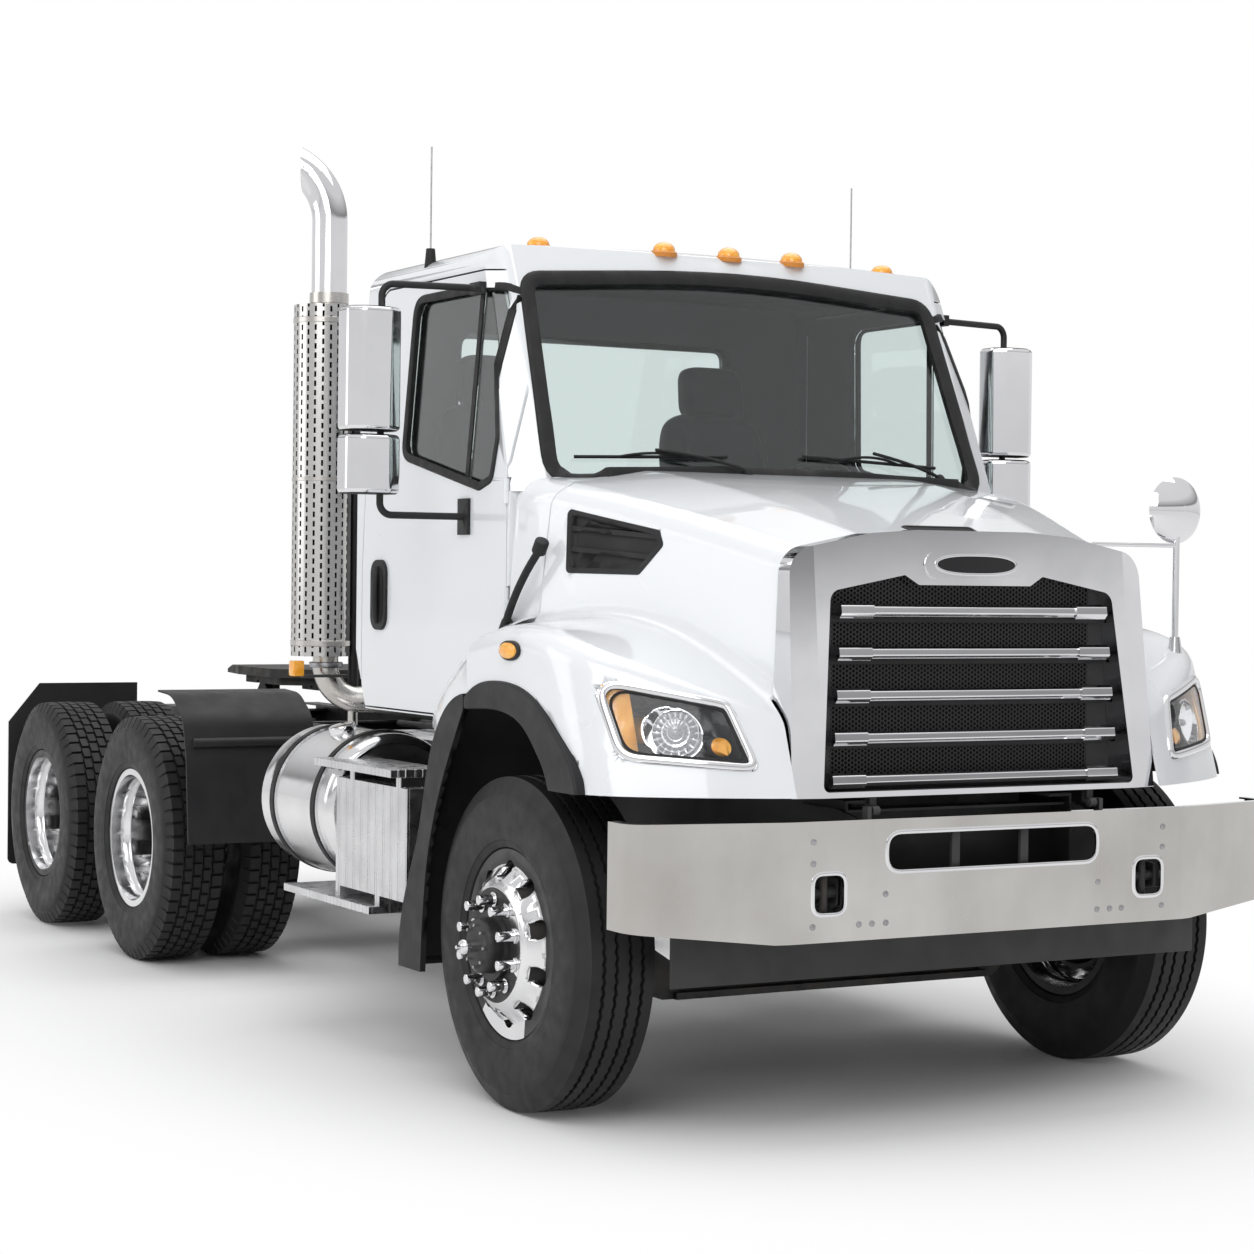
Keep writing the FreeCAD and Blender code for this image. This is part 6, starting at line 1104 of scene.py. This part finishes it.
def dress_seals(cab):
    """Rubber seals round the windshield, the rear window and the door windows."""
    path = rounded(grow(WINDSHIELD, 0.012), WINDSHIELD_R)
    seal("windshield_seal", cab, path, lambda p: at(3.0, p.x, p.y), BACKWARD, WIDE_SEAL)
    path = rounded(grow(REAR_WINDOW, 0.010), [0.07] * 4)
    seal("rear_window_seal", cab, path, lambda p: at(-4.0, p.x, p.y), (1, 0, 0), WIDE_SEAL)
    path = rounded(grow(SIDE_WINDOW, 0.008), SIDE_WINDOW_R)
    for side, s in SIDES:
        skin = skin_of(side + "_door", side + "_door_glass", "cab_shell")
        seal(side + "_window_seal", skin, path, lambda p: at(p.x, s * 3.0, p.y), (0, -s, 0), SLIM_SEAL, side + "_door")


def dress_wipers(glass):
    """Two arms with blades lying on the glass."""
    def on_glass(spot, out):
        point, normal = lay(glass, at(3.0, *spot), BACKWARD)
        return point + normal * out

    for name, foot, elbow, tip, first, last in WIPERS:
        first, last = Vector(first), Vector(last)
        blade = [on_glass(first.lerp(last, i / BLADE_STEPS), 0.012) for i in range(BLADE_STEPS + 1)]
        spine = [on_glass(first.lerp(last, 0.3), 0.016), on_glass(tip, 0.030), on_glass(first.lerp(last, 0.7), 0.016)]
        parts = [tube("arm", [on_glass(foot, 0.03), on_glass(elbow, 0.045), on_glass(tip, 0.03)], 0.006),
                 cylinder("joint", 0.018, 0.03, on_glass(foot, 0.02), (1, 0, 0.6), 24, 0.004),
                 tube("blade", blade, 0.006), tube("spine", spine, 0.005)]
        place(join(parts, name + "_wiper"), "rubber")


def dress_doors():
    """Doors with their glass, mirrors and handles."""
    edge = grow(SIDE_WINDOW, 0.001)
    for side, s in SIDES:
        body = side + "_door"
        zones(dressed(body, "paint", body), [
            ("trim", lambda c, n: n.y * s < -0.5 and abs(c.y) < 0.962),
            ("rubber", lambda c, n: inside(edge, (c.x, c.z)))])
        dressed(side + "_door_glass", "glass", body)
        zones(dressed(side + "_door_mirror", "plastic", body, flat=0.0), [
            ("chrome", lambda c, n: abs(c.y) > 1.229 and c.x > -0.872 and (2.165 < c.z < 2.574 or 1.953 < c.z < 2.146)
             and math.hypot(abs(c.y) - 1.301, c.x + 0.803) > 0.0125),
            ("mirror_glass", lambda c, n: abs(c.y) > 1.24 and n.x < -0.9)])
        point, _ = lay(skin_of(body), at(-1.495, s * 3.0, 1.605), (0, -s, 0))
        for name, size, corner, out, ease, finish in HANDLE_PLATES:
            plate = block(f"{side}_{name}", [-v for v in size], size)
            round_corners(plate, corner)
            plate.data.transform(Matrix.Translation(point + Vector((0, s * out, 0))))
            if ease:
                bevel(plate, ease, 2, 50.0)
            smooth(plate)
            place(plate, finish, body)
        grip = [point + Vector((x, s * y, z)) for x, y, z in HANDLE_GRIP]
        place(tube(side + "_door_grip", grip, 0.012, 3, 16), "plastic", body)


def round_corners(obj, radius):
    """Rounds the four corners of a flat plate that stands in the XZ plane."""
    edit(obj, (bpy.ops.mesh.select_mode, {"type": "EDGE"}), select="DESELECT")
    for edge in obj.data.edges:
        a, b = (obj.data.vertices[i].co for i in edge.vertices)
        edge.select = abs(a.y - b.y) > 0.5 * (a - b).length
    edit(obj, (bpy.ops.mesh.bevel, {"offset": radius, "segments": 10}), (bpy.ops.mesh.select_mode, {"type": "VERT"}),
         select=None)


def cushion(name, length, width, depth, channels=0):
    """A stuffed pad lying flat round the origin: crowned, pulled in between its corners, with sewn channels across."""
    bpy.ops.object.select_all(action="DESELECT")
    bpy.ops.mesh.primitive_cube_add(size=2.0)
    obj = bpy.context.active_object
    obj.name = name
    edit(obj, (bpy.ops.mesh.subdivide, {"number_cuts": 23}))
    for v in obj.data.vertices:
        x, y, z = v.co
        reach = (abs(x) ** 4.2 + abs(y) ** 4.2 + abs(z) ** 2.6) ** (1 / 4.2)
        inward = max(abs(x), abs(y), abs(z)) / reach
        pull_x = 1 - 0.03 * (1 - y * y) * abs(x) ** 3
        pull_y = 1 - 0.03 * (1 - x * x) * abs(y) ** 3
        fold = 0.0
        if channels and z > 0:
            bolster = math.exp(-((abs(y) - BOLSTER) / 0.04) ** 2) * max(0.0, 1 - abs(x) ** 6)
            rows = sum(math.exp(-((x + 0.9 - 1.8 * (i + 1) / (channels + 1)) / 0.035) ** 2) for i in range(channels))
            fold = 0.13 * bolster + 0.09 * rows * (1.0 if abs(y) < BOLSTER else 0.0)
            fold -= 0.14 * math.exp(-((abs(y) - BOLSTER - 0.2) / 0.16) ** 2)
        v.co = (x * pull_x * inward * length / 2, y * pull_y * inward * width / 2,
                z * inward * depth / 2 * (1 - fold))
    tidy_mesh(obj)
    modifier = obj.modifiers.new("round", "SUBSURF")
    modifier.levels = modifier.render_levels = 1
    apply_modifiers(obj)
    smooth(obj, 60.0)
    return obj


def dress_seats():
    """Stuffed seats, backs and headrests on their bases."""
    for side, s in SIDES:
        y = s * SEAT_Y
        place(block(side + "_seat_base", at(-1.5, y - 0.18, 1.2305), at(-1.12, y + 0.18, 1.64), 0.015), "trim")
        place(block(side + "_seat_pan", at(-1.555, y - 0.235, 1.635), at(-1.075, y + 0.235, 1.665), 0.012), "trim")
        for part, size, (x, z), lean, channels in SEAT_PADS:
            pad = cushion(f"{side}_seat_{part}", *size, channels=channels)
            pad.data.transform(Matrix.Translation(at(x, y, z)) @ Matrix.Rotation(math.radians(lean), 4, "Y"))
            place(pad, "cloth")
            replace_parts(pad, "seats")
        posts = [cylinder("post", 0.006, 0.10, at(-1.613, y + d, 2.30), (-0.1, 0, 1), 16) for d in (-0.06, 0.06)]
        place(join(posts, side + "_headrest_posts"), "satin")


def dress_roof_lamps():
    """Five amber domes on thin bases along the front of the roof."""
    roof = skin_of("cab_shell")
    for i, (x, y) in enumerate(ROOF_LAMPS):
        point, normal = lay(roof, at(x, y, 4.0), (0, 0, -1))
        spot = facing(point, (normal + Vector((0, 0, 3))).normalized()) @ Matrix.Diagonal((1.15, 1, 1, 1))
        for name, finish, profile in ROOF_LAMP_PARTS:
            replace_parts(turned(f"roof_lamp_{i}_{name}", profile, 40, spot, finish), "roof_lamps")


class TRACTOR_OT_cab(bpy.types.Operator):
    """Finish the cab, its doors, glass, mirrors and interior"""
    bl_idname = "tractor.cab"
    bl_label = "Cab"

    def execute(self, context):
        window = grow(WINDSHIELD, 0.001)
        rear = grow(REAR_WINDOW, 0.001)
        middle = Vector((-1.0, 0.0, 2.0))

        def within(c, n):
            low = 1.19 <= c.z < 2.0 and c.x <= -0.36
            return (low or 1.19 <= c.z < 2.80 and c.x < -0.45) and (
                abs(c.y) < 0.952 and c.x > -1.67 and n.dot(middle - c) > 0.02)

        zones(dressed("cab_shell", "paint"), [
            ("trim", within),
            ("rubber", lambda c, n: -0.9 < c.x < -0.36 and inside(window, (c.y, c.z)) and abs(n.x) < 0.9),
            ("rubber", lambda c, n: c.x < -1.66 and inside(rear, (c.y, c.z)) and abs(n.x) < 0.9),
            ("frame_black", lambda c, n: c.z < 1.19)])
        dressed("cab_glass", "glass")
        dressed("dashboard", "trim", "chassis", 35.0, 0.012)
        dressed("steering_wheel", "plastic", "steering_wheel")
        dress_roof_lamps()
        zones(dressed("antennas", "rubber", flat=0.0), [("satin", lambda c, n: c.z > 2.87)])
        dress_seals(skin_of("cab_shell"))
        dress_wipers(skin_of("cab_glass", "cab_shell"))
        dress_doors()
        dress_seats()
        return {"FINISHED"}


# Camera, lamps and floor

CAMERA_AT = (7.3992, -4.9253, 1.6754)
CAMERA_YAW = 29.200
CAMERA_PITCH = -1.0466
CAMERA_ROLL = 0.709
FOCAL_SHARE = 2649.72 / 1254.0
SENSOR = 36.0
FLOOR_SIZE = 160.0
# Place, size and power of each lamp.
LAMPS = (("key", (7.5, -6.0, 6.5), 6.0, 330.0), ("side", (-3.0, -9.5, 4.5), 6.0, 150.0),
         ("top", (0.0, 1.0, 9.5), 9.0, 400.0))
AIM = Vector((0, 0, 1.2))
# Brightness that reflections see, from straight down at 0 to straight up at 1.
SKY = ((0.0, 0.55), (0.485, 0.74), (0.51, 0.92), (0.575, 1.0), (0.595, 0.30), (0.63, 0.55), (0.72, 0.95), (1.0, 1.0))
WHITE = (1.0, 1.0, 1.0, 1.0)


class TRACTOR_OT_stage(bpy.types.Operator):
    """Set the camera, the lamps and the pale floor"""
    bl_idname = "tractor.stage"
    bl_label = "Stage"

    def execute(self, context):
        scene = context.scene
        scene.view_settings.view_transform = "Standard"
        yaw, pitch, roll = (math.radians(v) for v in (CAMERA_YAW, CAMERA_PITCH, CAMERA_ROLL))
        forward = Vector((-math.cos(yaw) * math.cos(pitch), math.sin(yaw) * math.cos(pitch), math.sin(pitch)))
        right = forward.cross(Vector((0, 0, 1))).normalized()
        up = right.cross(forward)
        right, up = (right * math.cos(roll) + up * math.sin(roll), up * math.cos(roll) - right * math.sin(roll))
        lens = bpy.data.cameras.new("photo_camera")
        lens.sensor_width = SENSOR
        lens.lens = SENSOR * FOCAL_SHARE
        lens.clip_end = 200.0
        scene.camera = linked("photo_camera", lens)
        turn = Matrix((right, up, -forward)).transposed().to_4x4()
        scene.camera.matrix_world = Matrix.Translation(at(*CAMERA_AT)) @ turn
        bpy.ops.object.select_all(action="DESELECT")
        bpy.ops.mesh.primitive_plane_add(size=FLOOR_SIZE, location=(0, 0, -0.001))
        floor = context.active_object
        floor.name = "floor"
        floor.data.materials.append(floor_material())
        scene.world = scene.world or bpy.data.worlds.new("studio")
        paint_world(scene.world)
        for name, spot, size, power in LAMPS:
            light = bpy.data.lights.new(name, "AREA")
            light.size = size
            light.energy = power
            lamp = linked(name, light)
            lamp.location = spot
            lamp.rotation_euler = (AIM - Vector(spot)).to_track_quat("-Z", "Y").to_euler()
        return {"FINISHED"}


def floor_material():
    """Pale ground that holds the shadow and turns to plain white away from the vehicle."""
    f = Finish("pale_floor", (0.93, 0.93, 0.93), 0.9).vary((0.92, 0.92, 0.92), 0.4)
    near = f.mapped(location=(0.02, 0.0, 0.0), scale=(1 / 5.0, 1 / 2.9, 0.0))
    reach = f.add("ShaderNodeVectorMath", {0: near}, operation="LENGTH").outputs["Value"]
    far = f.add("ShaderNodeMapRange", {"Value": reach, "From Min": 0.55, "From Max": 1.05},
                interpolation_type="SMOOTHSTEP").outputs["Result"]
    path = f.add("ShaderNodeLightPath").outputs
    direct = f.maths("MAXIMUM", path["Is Camera Ray"], f.maths("MULTIPLY", path["Is Glossy Ray"], 0.72))
    white = f.add("ShaderNodeEmission", {"Color": WHITE, "Strength": 1.0})
    mix = f.add("ShaderNodeMixShader", {0: f.maths("MULTIPLY", far, direct), 1: f.shader.outputs[0],
                                        2: white.outputs[0]})
    f.feed(f.tree.nodes["Material Output"], {"Surface": mix.outputs[0]})
    return f.material


def paint_world(world):
    """White to the camera and through glass. Reflections see a soft sky over a darker skyline."""
    world.use_nodes = True
    world.node_tree.nodes.clear()
    w = Nodes(world.node_tree)
    path = w.add("ShaderNodeLightPath").outputs
    height = w.add("ShaderNodeSeparateXYZ", {0: w.add("ShaderNodeTexCoord").outputs["Generated"]}).outputs["Z"]
    ramp = w.add("ShaderNodeValToRGB", {"Fac": w.maths("MULTIPLY_ADD", height, 0.5, 0.5)})
    stops = ramp.color_ramp.elements
    for i, (place_, level) in enumerate(SKY):
        stop = stops[i] if i < 2 else stops.new(place_)
        stop.position = place_
        stop.color = (level, level, level * 1.01, 1.0)
    strength = w.maths("MULTIPLY_ADD", path["Is Glossy Ray"], 0.28, 0.58)
    sky = w.add("ShaderNodeBackground", {"Color": ramp.outputs["Color"], "Strength": strength})
    seen = w.add("ShaderNodeBackground", {"Color": WHITE, "Strength": 1.0})
    direct = w.maths("MAXIMUM", path["Is Camera Ray"], path["Is Transmission Ray"])
    mix = w.add("ShaderNodeMixShader", {0: direct, 1: sky.outputs[0], 2: seen.outputs[0]})
    w.add("ShaderNodeOutputWorld", {"Surface": mix.outputs[0]})


# Settings, panel and registration

class TractorFinish(bpy.types.PropertyGroup):
    paint: bpy.props.FloatVectorProperty(
        name="Paint", description="Colour of the cab, doors and hood", subtype="COLOR", size=3, min=0.0, max=1.0,
        default=(0.80, 0.82, 0.84))


class TRACTOR_PT_panel(bpy.types.Panel):
    """Lists the steps that dress the tractor unit"""
    bl_idname = "TRACTOR_PT_panel"
    bl_label = "Tractor Unit"
    bl_space_type = "VIEW_3D"
    bl_region_type = "UI"
    bl_category = "Tractor"

    def draw(self, context):
        self.layout.prop(context.scene.tractor_finish, "paint")
        for step in STEPS:
            self.layout.operator(step.bl_idname)


STEPS = (TRACTOR_OT_tyres, TRACTOR_OT_wheels, TRACTOR_OT_chassis, TRACTOR_OT_hood, TRACTOR_OT_cab,
         TRACTOR_OT_stage)
CLASSES = (TractorFinish, TRACTOR_PT_panel, *STEPS)


def register():
    for entry in CLASSES:
        bpy.utils.register_class(entry)
    bpy.types.Scene.tractor_finish = bpy.props.PointerProperty(type=TractorFinish)


def unregister():
    del bpy.types.Scene.tractor_finish
    for entry in reversed(CLASSES):
        bpy.utils.unregister_class(entry)


def main():
    register()
    FINISH.update(make_finishes())
    bpy.ops.tractor.tyres()
    bpy.ops.tractor.wheels()
    bpy.ops.tractor.chassis()
    bpy.ops.tractor.hood()
    bpy.ops.tractor.cab()
    bpy.ops.tractor.stage()


if __name__ == "__main__":
    main()
